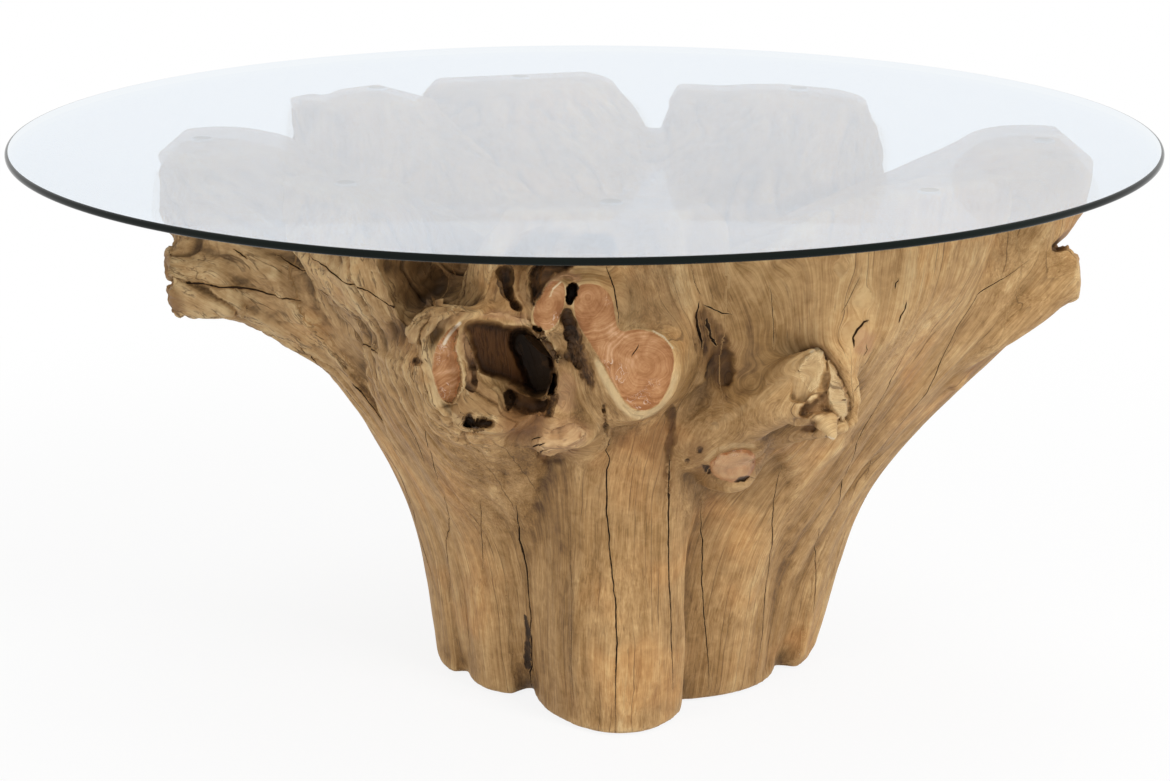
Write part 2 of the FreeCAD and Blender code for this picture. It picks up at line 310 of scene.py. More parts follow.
def outlineGap(at, outline):    # pixels outside the outline, negative inside
    loop = np.concatenate((outline, outline[:1]))
    gap = lineGap(at, loop)[0]
    inside = np.zeros(len(at), bool)
    for (x0, y0), (x1, y1) in zip(loop, loop[1:]):
        spans = (y0 > at[:, 1]) != (y1 > at[:, 1])
        cross = x0 + (at[:, 1] - y0) * (x1 - x0) / (y1 - y0 if y1 != y0 else 1)
        inside ^= spans & (at[:, 0] < cross)
    return np.where(inside, -gap, gap)


# the root base: the sawn root sections and their heart, sculpted as one skin and then sawn apart
stump = {
    "axis": (0.055, -0.030),    # where the sawn seams meet
    "foot": 0.003,
    "top": 0.747,
    "heartRadius": 0.105,
    "farReach": 1.5,
    "seams": {"front": 229, "front_right": 288, "right": 345, "back_right": 35,
              "back": 85, "back_left": 125, "left": 160, "front_left": 200},
    "weld": 0.00001,
    "coarseVoxel": 0.010,
    "fillSteps": 260,
    "fillShare": 0.16,          # how much the hollows fill where nothing else says more
    "backShare": 0.5,
    "backAngles": (165, 352),
    "backHeights": (0.50, 0.30),
    "coreInset": 0.003,
    "roughVoxel": 0.0036,
    "panelFace": [(0.13, -0.46), (0.17, -0.425), (0.28, -0.402), (0.36, -0.382), (0.42, -0.355),
                  (0.50, -0.29), (0.62, -0.19)],    # x and y of the smooth face right of the fork
    "panelHeights": (0.42, 0.52),
    "soothSteps": 400,
    "blendSteps": 8,            # how far growths melt into the wood beside them
    "hollowVoxel": 0.0030,
    "fineVoxel": 0.0042,
    "finePixels": [(405, 262, 690, 462), (690, 300, 860, 490)],    # left, top, right and bottom
    "flatBand": 0.012,          # wood this near the floor and the top stays flat
    "frontDepth": -0.08,        # the front of the base lies before this y
    "knotDepth": -0.28,         # and its knots before this
    "sawHeights": (-0.2, 1.2),
    "splitNoise": (0.016, 0.0022, 21),    # size, depth and seed
}
axisX, axisY = stump["axis"]
rootNames = list(stump["seams"])
woodNodes = [name + "_root" for name in rootNames] + ["heart_block"]


def cadCopy(names):
    bm = bmesh.new()
    for name in names:
        bm.from_mesh(nodes[name].data)
    bmesh.ops.remove_doubles(bm, verts=bm.verts, dist=stump["weld"])
    return meshFrom(bm, "raw")


def polarOf(co):
    offX, offY = co[:, 0] - axisX, co[:, 1] - axisY
    return np.degrees(np.arctan2(offY, offX)) % 360, np.hypot(offX, offY)


def polarSpot(angle, reach):
    turn = math.radians(angle)
    return axisX + reach * math.cos(turn), axisY + reach * math.sin(turn)


# parts of the stump with soft edges: strength, angles of fading in and of fading out, heights of fading in
zones = {
    "fill": {
        "rightPanel": (1, (290, 300), (352, 358), (0.74, 0.66)),
        "leftFoot": (1, (165, 175), (238, 248), (0.60, 0.50)),
    },
    "rough": {
        "left": (0.7, (150, 175), (236, 250), (0.30, 0.50)),
        "knots": (0.25, (232, 240), (270, 284), (0.36, 0.46)),
        "back": (0.6, (20, 40), (140, 160), (0.20, 0.45)),
    },
    "grey": {"left": (0.7, (150, 175), (236, 250), (0.36, 0.52))},
    "warm": {"panel": (0.3, (292, 304), (330, 345), (0.50, 0.62))},
    "lift": {
        "panel": (0.11, (290, 302), (336, 348), (0.44, 0.56)),
        "limb": (0.12, (165, 185), (215, 235), (0.42, 0.56)),
        "trunk": (-0.05, (240, 255), (275, 290), (0.42, 0.32)),
    },
}


def zoneSum(co, kind):
    angle = polarOf(co)[0]
    total = np.zeros(len(co))
    for strength, fadeIn, fadeOut, heights in zones[kind].values():
        total += strength * ease(angle, *fadeIn) * (1 - ease(angle, *fadeOut)) * ease(co[:, 2], *heights)
    return total


# hollows between the roots fill up, and what stands out stays where it is
def fillShares(co):
    angle = polarOf(co)[0]
    left, right = stump["backAngles"]
    back = ((angle < left) | (angle > right)) * ease(co[:, 2], *stump["backHeights"])
    return np.clip(stump["fillShare"] + zoneSum(co, "fill") + stump["backShare"] * back, 0, 1)


def filledCore(raw):
    core = remeshed(raw, stump["coarseVoxel"])
    ends = edgeEnds(core)
    co = places(core)
    share = fillShares(co)
    share[(co[:, 2] > stump["top"] - stump["flatBand"]) | (co[:, 2] < stump["foot"] + stump["flatBand"])] = 0
    for step in range(stump["fillSteps"]):
        if step % 10 == 0:
            movedTo(core, co)
            way = outward(core)
        pull = ((neighbourMean(co, ends) - co) * way).sum(1)
        co += way * (np.maximum(pull, 0) * share)[:, None]
    co -= way * stump["coreInset"]
    low, high = stump["foot"] + stump["coreInset"], stump["top"] - stump["coreInset"]
    co[:, 2] = np.clip(co[:, 2], low, high)
    movedTo(core, co)
    return core


# the smooth right panel is hewn back to its face
def hewn(co):
    across, depth = zip(*stump["panelFace"])
    limit = np.interp(co[:, 0], across, depth)
    share = ease(co[:, 2], *stump["panelHeights"]) * (co[:, 0] > across[0]) * (co[:, 1] < -0.1)
    co[:, 1] += np.maximum(limit - co[:, 1], 0) * share
    return co


# what grows out of the wood, as chains of (pixel across, pixel down, y, radius)
growths = {
    "forkArm": [
        (698, 430, -0.35, 0.046), (742, 412, -0.39, 0.04), (780, 398, -0.425, 0.034),
        (806, 397, -0.445, 0.026)],
    "forkPeak": [(768, 393, -0.41, 0.03), (794, 371, -0.44, 0.02), (813, 352, -0.458, 0.006)],
    "forkNub": [(814, 410, -0.436, 0.016), (828, 424, -0.45, 0.012), (834, 438, -0.456, 0.005)],
    "forkBase": [(692, 442, -0.335, 0.04), (720, 440, -0.35, 0.04), (746, 438, -0.365, 0.03)],
    "forkSaddle": [(722, 352, -0.378, 0.03), (750, 362, -0.388, 0.03), (776, 372, -0.402, 0.028)],
    "forkFill": [(714, 372, -0.372, 0.032), (728, 390, -0.378, 0.034), (752, 388, -0.39, 0.034)],
    "knobCollar": [(728, 460, -0.318, 0.044), (733, 464, -0.336, 0.03)],
    "valleyFill": [(688, 282, -0.395, 0.04), (706, 304, -0.395, 0.036), (716, 336, -0.375, 0.03)],
    "collarLeft": [
        (430, 343, -0.404, 0.012), (426, 374, -0.404, 0.012), (436, 403, -0.404, 0.012),
        (454, 419, -0.404, 0.012)],
    "hollowBrow": [(416, 332, -0.405, 0.018), (438, 313, -0.415, 0.018), (462, 311, -0.42, 0.016)],
    "hollowTop": [(474, 313, -0.425, 0.013), (500, 311, -0.43, 0.012), (528, 319, -0.43, 0.013)],
    "hollowDrip": [(534, 330, -0.44, 0.016), (546, 346, -0.442, 0.013), (556, 357, -0.448, 0.008)],
    "hollowTongue": [(468, 398, -0.412, 0.02), (482, 400, -0.412, 0.023), (494, 398, -0.408, 0.018)],
    "roughKnot": [(546, 440, -0.4, 0.024), (570, 432, -0.405, 0.022)],
    "charredRib": [(568, 408, -0.41, 0.022), (575, 372, -0.42, 0.022), (566, 335, -0.43, 0.02)],
    "bulge": [(648, 304, -0.422, 0.046), (656, 280, -0.418, 0.046)],
    "leftNubHigh": [(222, 272, -0.15, 0.034), (180, 266, -0.14, 0.022)],
    "leftNubLow": [(232, 298, -0.16, 0.032), (184, 303, -0.145, 0.024)],
    "leftTipHigh": [(180, 263, -0.14, 0.018), (169, 265, -0.135, 0.01)],
    "leftTipLow": [(184, 298, -0.145, 0.019), (173, 299, -0.14, 0.012)],
    "rightProng": [
        (1055, 280, -0.13, 0.035), (1028, 301, -0.135, 0.036), (990, 330, -0.14, 0.034),
        (950, 358, -0.125, 0.028)],
    "rightProngTop": [(1044, 266, -0.13, 0.014), (1069, 255, -0.13, 0.013)],
}
# slabs: one hull round all the balls of each
slabs = {
    "forkFace": [
        (813, 353, -0.452, 0.004), (829, 367, -0.456, 0.005), (840, 387, -0.446, 0.005),
        (844, 411, -0.436, 0.005), (832, 418, -0.442, 0.005), (797, 424, -0.432, 0.006),
        (785, 395, -0.42, 0.018)],
    "panelHigh": [
        (752, 272, -0.39, 0.03), (756, 318, -0.388, 0.03), (830, 266, -0.364, 0.03),
        (836, 326, -0.36, 0.03), (890, 262, -0.338, 0.03), (890, 326, -0.332, 0.03)],
    "panel": [
        (790, 300, -0.365, 0.025), (900, 282, -0.33, 0.022), (1000, 285, -0.15, 0.022),
        (955, 352, -0.13, 0.022), (880, 440, -0.125, 0.02), (800, 480, -0.18, 0.022),
        (780, 430, -0.32, 0.022)],
    "panelFoot": [
        (795, 465, -0.24, 0.015), (835, 440, -0.24, 0.015), (868, 436, -0.165, 0.015),
        (790, 560, -0.135, 0.015), (816, 546, -0.1, 0.012)],
    "collarFill": [
        (430, 340, -0.39, 0.018), (424, 374, -0.39, 0.018), (436, 404, -0.39, 0.018),
        (458, 424, -0.386, 0.018), (500, 426, -0.4, 0.018), (536, 440, -0.37, 0.018),
        (375, 345, -0.27, 0.018), (380, 385, -0.22, 0.018), (400, 430, -0.18, 0.018),
        (425, 490, -0.12, 0.012), (470, 530, -0.185, 0.012), (510, 530, -0.205, 0.012),
        (534, 500, -0.25, 0.012)],
}

# gaps sawn or split right through, as slabs
splits = {
    "nubGap": [
        (150, 283, -0.3, 0.009), (168, 282, -0.3, 0.004), (186, 284, -0.3, 0.001), (150, 283, 0.06, 0.009),
        (168, 282, 0.06, 0.004), (186, 284, 0.06, 0.001)],
    "prongGap": [
        (1040, 258, -0.3, 0.001), (1074, 234, -0.3, 0.01), (1098, 218, -0.3, 0.016),
        (1040, 258, 0.12, 0.001), (1074, 234, 0.12, 0.01), (1098, 218, 0.12, 0.016)],
}

# hollows in the skin: how dark, and chains of (pixel across, pixel down, radius)
pits = {
    # painted shade: the void's walls are painted dark
    "leftVoid": (0.80, [(524, 618, 0.004), (527, 640, 0.007), (528, 668, 0.007), (529, 692, 0.005)]),
}

# faces that a saw has left, as outlines in the photograph's pixels
sawnFaces = {
    "kidney": [
        (586, 337), (599, 357), (610, 377), (620, 394), (629, 406), (641, 412), (657, 406), (668, 390),
        (674, 368), (673, 347), (656, 332), (636, 329), (619, 333), (615, 318), (613, 300), (604, 287),
        (591, 283), (578, 285), (573, 297), (575, 314), (579, 326)],
    "petal": [
        (533, 322), (534, 305), (541, 290), (551, 281), (561, 280), (566, 289), (564, 305), (560, 319),
        (552, 329), (541, 331)],
    "crescent": [
        (461, 321), (447, 331), (434, 349), (431, 372), (439, 396), (449, 406), (458, 397), (463, 380),
        (460, 361), (455, 347)],
    "knob": [
        (711, 459), (730, 450), (753, 449), (757, 462), (750, 478), (735, 483), (718, 479), (709, 469)],
}
sawnBox = (340, 840, 560)    # left, right and bottom of the pixels that show them

# pieces of the knotty front, seen from the camera: depth as y at the middle with its slopes for a pixel
# across and down, or as a push towards the camera; the width of the edge in pixels; stains and painted
# shade, and how rough or calm the wood is; the outline in pixels
facets = {
    # painted shade: the recess is painted brown
    "recessLeft": (-0.014, 14, {"brownAndShade": 0.5}, [
        (372, 256), (402, 254), (434, 258), (456, 284), (446, 302), (424, 316), (404, 310), (386, 284)]),
    # painted shade: the crevice is painted dark brown
    "crevice": (-0.014, 4, {"dark": 0.62, "brownAndShade": 0.8}, [
        (498, 270), (510, 266), (513, 276), (510, 284), (514, 296), (522, 310), (515, 311), (506, 300),
        (500, 286)]),
    "column": (0.004, 5, {"brownAndShade": 0.45}, [
        (515, 266), (527, 264), (530, 290), (529, 306), (522, 309), (516, 296), (513, 282)]),
    # painted shade: the recess is painted dark brown
    "recessTop": (-0.018, 3, {"dark": 0.72, "brownAndShade": 0.85}, [
        (530, 262), (576, 261), (568, 272), (557, 274), (549, 280), (543, 290), (538, 301), (532, 308),
        (530, 292)]),
    # painted shade: the slot is painted dark
    "slot": (-0.034, 1.5, {"dark": 1.0}, [
        (568, 285), (574, 283), (577, 288), (576, 297), (572, 305), (567, 303), (566, 294)]),
    "arch": (0.004, 3, {"pink": 0.8, "brownAndShade": 0.3}, [
        (545, 282), (555, 273), (569, 270), (580, 275), (578, 282), (566, 278), (556, 280), (549, 287)]),
    "brow": (0.004, 5, {"rough": 1.0, "grey": 0.7, "brownAndShade": 0.2}, [
        (411, 336), (415, 322), (428, 312), (444, 305), (462, 303), (476, 310), (470, 319), (456, 322),
        (440, 331), (428, 343), (418, 346)]),
    # painted shade in the pit
    "browPit": (-0.006, 4, {"dark": 0.6, "brownAndShade": 0.6}, [
        (410, 360), (416, 355), (424, 358), (428, 365), (422, 367), (414, 366)]),
    # painted shade under the brow
    "browShade": (-0.003, 10, {"brownAndShade": 0.5}, [
        (380, 322), (398, 320), (412, 334), (416, 350), (400, 352), (384, 338)]),
    "upperRim": (0.004, 4, {"pink": 0.55}, [
        (478, 316), (488, 309), (500, 308), (514, 313), (529, 316), (532, 323), (520, 325), (505, 320),
        (490, 319)]),
    "mouth": ((-0.385, 0.0006, 0.0002), 6, {"brownAndShade": 0.95, "dark": 0.28, "calm": 0.9}, [
        (461, 324), (478, 319), (497, 321), (516, 327), (530, 331), (545, 350), (540, 380), (527, 388),
        (512, 384), (499, 380), (486, 376), (475, 367), (471, 350), (466, 335)]),
    # painted shade: the hole is painted dark
    "hole": ((-0.345, 0, 0), 8, {"dark": 0.88, "calm": 0.9}, [
        (505, 346), (512, 329), (523, 326), (536, 331), (549, 346), (557, 362), (558, 379), (556, 392),
        (547, 398), (532, 398), (523, 386), (518, 370), (512, 357)]),
    "holeFoot": ((-0.398, 0, 0), 8, {"brownAndShade": 0.8, "rough": 0.6}, [
        (505, 384), (520, 384), (534, 396), (550, 396), (553, 408), (540, 416), (516, 412), (504, 402)]),
    "crescent": ((-0.409, 0.0004, 0), 3, {"calm": 1.0}, sawnFaces["crescent"]),
    "torn": ((-0.419, 0.001, 0), 4, {"pink": 0.45, "brownAndShade": 0.35, "rough": 1.0}, [
        (463, 324), (469, 335), (474, 350), (479, 367), (479, 383), (472, 398), (467, 386), (468, 370),
        (463, 352), (459, 342)]),
    "tongue": ((-0.43, -0.0002, -0.0004), 9, {"grey": 0.4, "brownAndShade": 0.35, "rough": 0.8}, [
        (449, 409), (459, 393), (475, 380), (489, 379), (505, 389), (508, 401), (505, 412), (497, 421),
        (479, 418), (463, 420), (454, 426)]),
    # painted shade: the gap under the tongue is painted dark
    "tongueGap": (-0.026, 3, {"dark": 0.95}, [
        (462, 420), (470, 416), (480, 420), (496, 419), (493, 427), (477, 431), (463, 429)]),
    # painted shade: the tongue's side is painted dark
    "tongueSide": (-0.016, 4, {"dark": 0.7}, [
        (503, 392), (510, 391), (516, 399), (512, 410), (505, 414), (506, 402)]),
    "drip": ((-0.449, 0.0002, 0), 4, {"grey": 0.7, "rough": 0.5}, [
        (530, 322), (541, 327), (549, 337), (557, 351), (564, 360), (558, 365), (552, 358), (545, 348),
        (537, 337), (530, 330)]),
    "charred": (-0.006, 5, {"dark": 0.66, "brownAndShade": 0.5, "rough": 1.0}, [
        (556, 312), (570, 309), (580, 323), (584, 340), (586, 353), (593, 368), (597, 381), (592, 394),
        (585, 387), (577, 372), (569, 362), (562, 359), (566, 345), (562, 330)]),
    "charredFoot": (-0.005, 4, {"dark": 0.5, "rough": 0.8}, [
        (600, 404), (606, 402), (609, 416), (610, 436), (605, 440), (602, 424)]),
    # painted shade: the side of the hole is painted dark
    "holeSide": (-0.01, 3, {"dark": 0.65}, [
        (548, 396), (556, 392), (556, 404), (551, 417), (545, 416), (549, 406)]),
    # painted shadow under the rough knot
    "roughKnotFoot": (-0.005, 6, {"brownAndShade": 0.7}, [
        (530, 444), (538, 448), (546, 458), (570, 456), (562, 464), (544, 466), (532, 456)]),
    "strip": (0, 5, {"pink": 0.45}, [
        (557, 367), (575, 372), (578, 392), (574, 412), (560, 416), (556, 395)]),
    "roughKnot": (0.005, 8, {"pink": 0.45, "rough": 1.0}, [
        (533, 433), (555, 419), (577, 413), (593, 429), (589, 441), (577, 455), (547, 459), (533, 447)]),
    # painted shade under the hollow
    "underHollow": (0, 12, {"brownAndShade": 0.75, "pink": 0.3}, [
        (496, 404), (530, 398), (556, 410), (548, 432), (524, 446), (496, 436)]),
    # painted shade under the kidney
    "underKidney": (0, 10, {"brownAndShade": 0.4}, [
        (604, 432), (625, 424), (646, 430), (664, 420), (676, 402), (680, 440), (674, 500), (656, 500),
        (652, 460), (630, 448), (612, 452)]),
    # painted shade round the knob
    "knobShade": (0, 8, {"brownAndShade": 0.45}, [
        (682, 442), (700, 434), (714, 444), (706, 462), (712, 476), (726, 488), (704, 488), (688, 472)]),
    # painted shade in the notch
    "notchShade": (-0.006, 10, {"brownAndShade": 0.55, "dark": 0.46, "rough": 0.7}, [
        (692, 312), (700, 302), (714, 312), (726, 328), (734, 350), (738, 376), (728, 396), (710, 392),
        (700, 366), (694, 340)]),
    # painted shade: the saddle above the fork arm is painted grey
    "flank": (0, 14, {"grey": 0.5, "pale": 0.12}, [
        (738, 334), (752, 337), (764, 347), (780, 354), (796, 354), (806, 350), (797, 369), (784, 383),
        (764, 399), (742, 404), (734, 370)]),
    "breakFace": ((-0.464, -0.0003, 0.0002), 3, {"pale": 0.45}, [
        (802, 357), (812, 348), (822, 350), (828, 366), (824, 385), (811, 397), (797, 405), (789, 398),
        (790, 380), (795, 367)]),
    "breakRight": ((-0.456, 0.0014, 0), 3, {"grey": 0.6, "pale": 0.15, "calm": 0.6}, [
        (822, 350), (833, 366), (843, 383), (849, 401), (848, 415), (842, 424), (836, 414), (828, 408),
        (826, 390), (829, 370)]),
    # painted shade in the hollow of the break
    "breakHollow": ((-0.45, 0, 0.0003), 5, {"brownAndShade": 0.6, "rough": 0.6}, [
        (799, 407), (812, 397), (826, 390), (830, 406), (836, 413), (822, 414), (808, 420), (798, 428)]),
    # painted shade in the pit
    "breakPit": (-0.004, 5, {"dark": 0.45, "brownAndShade": 0.5}, [
        (814, 406), (826, 402), (836, 410), (832, 415), (822, 413)]),
    # painted shade in the wedge
    "wedge": (-0.006, 5, {"dark": 0.45, "brownAndShade": 0.7}, [
        (797, 430), (812, 418), (820, 420), (820, 434), (808, 433)]),
    # painted shade in the valley
    "valley": (-0.006, 4, {"brownAndShade": 0.7}, [
        (668, 408), (676, 404), (676, 440), (673, 470), (671, 500), (665, 500), (663, 470), (664, 440)]),
    "knobFace": (0.006, 3, {"pale": 0.5, "pink": 0.4}, sawnFaces["knob"]),
    "knobLeft": (-0.005, 2, {"dark": 0.75}, [(701, 463), (709, 463), (712, 472), (709, 474), (703, 467)]),
    "knobLow": (-0.005, 2, {"dark": 0.75}, [(732, 481), (742, 476), (750, 475), (748, 481), (740, 484)]),
    "knobHigh": (-0.004, 2, {"dark": 0.65}, [(695, 450), (701, 446), (704, 449), (699, 455)]),
    "knobSpeck": (-0.004, 2, {"dark": 0.6}, [(684, 459), (689, 457), (690, 464), (685, 464)]),
    "panelEye": (0.001, 4, {"pink": 0.7, "brownAndShade": 0.2}, [
        (854, 348), (855, 334), (865, 324), (873, 330), (875, 344), (867, 355), (858, 355)]),
    "nubHighEnd": (0, 6, {"brownAndShade": 0.7, "rough": 0.9}, [
        (158, 250), (170, 250), (174, 262), (173, 278), (164, 283), (156, 268)]),
    "nubLowEnd": (0, 8, {"brownAndShade": 0.75, "rough": 0.9}, [
        (158, 284), (174, 284), (182, 296), (186, 312), (170, 316), (158, 302)]),
}
# parts worn smooth: the panel beside the fork, and the wood under the hollow knot
smoothParts = {
    "panel": [
        (745, 240), (862, 230), (1010, 205), (1062, 208), (1046, 262), (1012, 326), (936, 400), (878, 482),
        (846, 550), (826, 590), (768, 590), (776, 500), (790, 460), (840, 446), (853, 426), (854, 402),
        (847, 382), (834, 358), (818, 340), (790, 340), (764, 330), (752, 318)],
    "burlFoot": [
        (386, 396), (420, 416), (452, 434), (500, 436), (542, 446), (552, 480), (546, 540), (524, 590),
        (470, 606), (425, 580), (402, 500), (382, 440)],
}


def addHull(bm, balls):
    ball = bmesh.new()
    for spot, radius in balls:
        bmesh.ops.create_icosphere(ball, subdivisions=3, radius=radius, matrix=Matrix.Translation(spot))
    hull = bmesh.ops.convex_hull(ball, input=ball.verts)
    spare = hull["geom_interior"] + hull["geom_unused"]
    spare = {item for item in spare if isinstance(item, bmesh.types.BMVert)}
    bmesh.ops.delete(ball, geom=list(spare), context="VERTS")
    bmesh.ops.recalc_face_normals(ball, faces=ball.faces)
    bm.from_mesh(meshFrom(ball, "hull"))


# each stretch of a chain is the hull of two balls
def chainSolids(chains, wholes):
    bm = bmesh.new()
    for chain in chains:
        for pair in zip(chain, chain[1:]):
            addHull(bm, pair)
    for balls in wholes:
        addHull(bm, balls)
    return meshFrom(bm, "chains")


def chainsOf(table):
    return [[(pixelSpot((x, y), depth), radius) for x, y, depth, radius in chain]
            for chain in table.values()]


def hollowChains(tree):    # without the balls whose pixels show no wood
    chains = []
    for dark, chain in pits.values():
        hits = [(tree.ray_cast(*cameraRay((x, y)))[0], radius) for x, y, radius in chain]
        chains.append((dark, [(spot, radius) for spot, radius in hits if spot is not None]))
    return chains


def roughened(mesh, cell, depth, seed):
    co = places(mesh)
    co += outward(mesh) * (depth * lattice(co / cell, seed))[:, None]
    movedTo(mesh, co)
    return mesh


def treeOf(mesh):
    bm = bmesh.new()
    bm.from_mesh(mesh)
    made = BVHTree.FromBMesh(bm)
    bm.free()
    return made


# the large sawn face, shaped like a kidney, with a callus round it
kidney = {
    "plane": -0.487,
    "lip": (0.004, 0.013),      # the callus at the top and at the foot of the face
    "lipHeight": 0.0045,
    "groove": 0.0016,
    "wallSlope": 1.5,
    "dish": 0.0025,
    "carveReach": (0.035, 0.070),
    "lipPixels": ((335, 385), (636, 664)),     # down and across, where the callus widens and narrows again
    "wallPixels": ((606, 624), (335, 365)),    # across and down, where its wall rises less
}


def faceGaps(co, names):
    gaps = np.full(len(co), 0.2)
    at, scale = pixelsOf(co)
    left, right, bottom = sawnBox
    near = (co[:, 1] < stump["knotDepth"]) & (at[:, 0] > left) & (at[:, 0] < right) & (at[:, 1] < bottom)
    for name in names:
        gap = outlineGap(at[near], rounded(sawnFaces[name])) * scale[near]
        gaps[near] = np.minimum(gaps[near], gap)
    return gaps


def lipWidths(co):
    at = pixelsOf(co)[0]
    down, across = kidney["lipPixels"]
    low = ease(at[:, 1], *down) * (0.55 + 0.45 * (1 - ease(at[:, 0], *across)))
    return kidney["lip"][0] + (kidney["lip"][1] - kidney["lip"][0]) * low


def sawKidney(co, way):
    gap = faceGaps(co, ("kidney", "petal"))
    lip = lipWidths(co)
    ridge = np.sin(np.pi * np.clip((gap - 0.001) / lip, 0, 1)) * kidney["lipHeight"] * lip / kidney["lip"][1]
    height = kidney["plane"] - ridge + kidney["groove"] * np.exp(-(gap / 0.002) ** 2)
    height += kidney["dish"] * ease(-gap, 0, 0.03)
    at = pixelsOf(co)[0]
    across, down = kidney["wallPixels"]
    high = ease(at[:, 0], *across) * (1 - ease(at[:, 1], *down))
    wall = kidney["plane"] + kidney["wallSlope"] * (1 - 0.7 * high) * (gap - lip)
    near, far = kidney["carveReach"]
    front = (co[:, 1] < -0.36) & (gap < far)
    pulled = front & (gap < lip) & (way[:, 1] < -0.3)
    carved = front & (gap >= lip)
    carve = np.maximum(wall - co[:, 1], 0) * (1 - ease(gap, near, far)) * (1 - high * ease(gap, 0.01, 0.03))
    co[pulled, 1] = height[pulled]
    co[carved, 1] += carve[carved]
    return co


def outlineNear(at, outline):    # the places near an outline, and their gaps to it
    outline = rounded(outline)
    near = np.nonzero(((at > outline.min(0) - 6) & (at < outline.max(0) + 6)).all(1))[0]
    return near, outlineGap(at[near], outline)


def raggedEdge(at):    # pixels that the outlines of facets wander
    flat = np.concatenate((at, np.zeros((len(at), 1))), 1)
    return 2.4 * lattice(flat / 7, 31) + 1.3 * lattice(flat / 3, 32)


def facingFront(co, way, lowest, behind=stump["frontDepth"]):
    return (co[:, 1] < behind) & (way[:, 1] < lowest)


def faceted(co, way):
    at = pixelsOf(co)[0]
    front = facingFront(co, way, 0.1)
    for depth, soft, traits, outline in facets.values():
        near, gap = outlineNear(at, outline)
        near, gap = near[front[near]], gap[front[near]]
        ray = co[near] - np.array(cameraSet["place"])
        ray /= ray[:, 1:2]
        if isinstance(depth, tuple):
            level, across, down = depth
            drop = level + (at[near] - np.mean(outline, 0)) @ (across, down) - co[near, 1]
        else:
            drop = np.full(len(near), -depth)
        co[near] += ray * (drop * ease(-gap - raggedEdge(at[near]) * 0.6, 0, soft))[:, None]
    return co


def soothed(mesh):
    co, way, ends = places(mesh), outward(mesh), edgeEnds(mesh)
    at = pixelsOf(co)[0]
    for outline in smoothParts.values():
        near, gap = outlineNear(at, outline)
        keep = way[near, 1] < 0.35
        near, gap = near[keep], gap[keep]
        index = np.full(len(co), -1)
        index[near] = np.arange(len(near))
        inner = index[ends]
        inner = inner[(inner >= 0).all(1)]
        flat = relaxed(co[near], inner, stump["soothSteps"], 0.7)
        share = ease(-gap, 3, 20) * ease(stump["top"] - co[near, 2], 0.004, 0.030)
        co[near] += (flat - co[near]) * share[:, None]
    movedTo(mesh, co)


# the knotty front gets a finer mesh
def refined(mesh):
    co, way = places(mesh), outward(mesh)
    at = pixelsOf(co)[0]
    close = np.zeros(len(co), bool)
    for left, top, right, bottom in stump["finePixels"]:
        close |= (at[:, 0] > left) & (at[:, 0] < right) & (at[:, 1] > top) & (at[:, 1] < bottom)
    close &= facingFront(co, way, 0.3, stump["knotDepth"])
    bm = bmesh.new()
    bm.from_mesh(mesh)
    edges = [edge for edge in bm.edges if close[edge.verts[0].index] and close[edge.verts[1].index]]
    bmesh.ops.subdivide_edges(bm, edges=edges, cuts=1, use_grid_fill=True)
    bm.to_mesh(mesh)
    bm.free()


# the way the fibres run: lines up the roots and out along their limbs, as angle, reach and height
fibreLines = {
    "front": [(266, 0.34, 0.0), (266, 0.325, 0.21), (266, 0.345, 0.4), (267, 0.4, 0.58), (267, 0.43, 0.75)],
    "frontRight": [
        (318, 0.22, 0.0), (318, 0.25, 0.21), (320, 0.345, 0.4), (323, 0.45, 0.54), (327, 0.48, 0.75)],
    "fork": [(292, 0.3, 0.36), (298, 0.37, 0.42), (304, 0.45, 0.475), (308, 0.54, 0.52)],
    "panel": [(334, 0.23, 0.0), (336, 0.26, 0.18), (339, 0.36, 0.38), (342, 0.5, 0.55), (345, 0.62, 0.75)],
    "right": [(2, 0.246, 0.0), (2, 0.3, 0.21), (3, 0.45, 0.4), (4, 0.61, 0.56), (4, 0.66, 0.66)],
    "rightProng": [
        (350, 0.25, 0.05), (351, 0.28, 0.2), (351, 0.36, 0.32), (351, 0.47, 0.43), (351, 0.66, 0.6)],
    "backRight": [(60, 0.262, 0.0), (60, 0.29, 0.21), (60, 0.385, 0.4), (60, 0.6, 0.68)],
    "backRightProng": [(70, 0.36, 0.36), (74, 0.545, 0.66)],
    "back": [(105, 0.25, 0.0), (105, 0.28, 0.21), (105, 0.375, 0.4), (105, 0.645, 0.69)],
    "backLeft": [(142, 0.255, 0.0), (142, 0.283, 0.21), (137, 0.38, 0.4), (128, 0.65, 0.69)],
    "left": [(181, 0.26, 0.0), (181, 0.306, 0.21), (179, 0.403, 0.4), (176, 0.64, 0.68)],
    "leftProng": [
        (200, 0.26, 0.05), (200, 0.28, 0.24), (197, 0.33, 0.36), (193, 0.45, 0.48), (189, 0.66, 0.6)],
    "frontLeft": [(212, 0.247, 0.0), (212, 0.272, 0.21), (213, 0.345, 0.4), (216, 0.5, 0.69)],
}
fibreSet = {
    "low": (-0.72, -0.66, -0.02),
    "high": (0.84, 0.72, 0.78),
    "cell": 0.026,
    "level": 0.28,              # the height that the fibres are traced to
    "stride": 0.02,
    "strides": 48,
    "width": 0.11,
    "narrow": {"fork": (0.045, 3)},    # width and weight of lines that hold only near by
    "upright": 0.04,
}
fibreLow = np.array(fibreSet["low"])
fibreCount = np.round((np.array(fibreSet["high"]) - fibreLow) / fibreSet["cell"]).astype(int) + 1


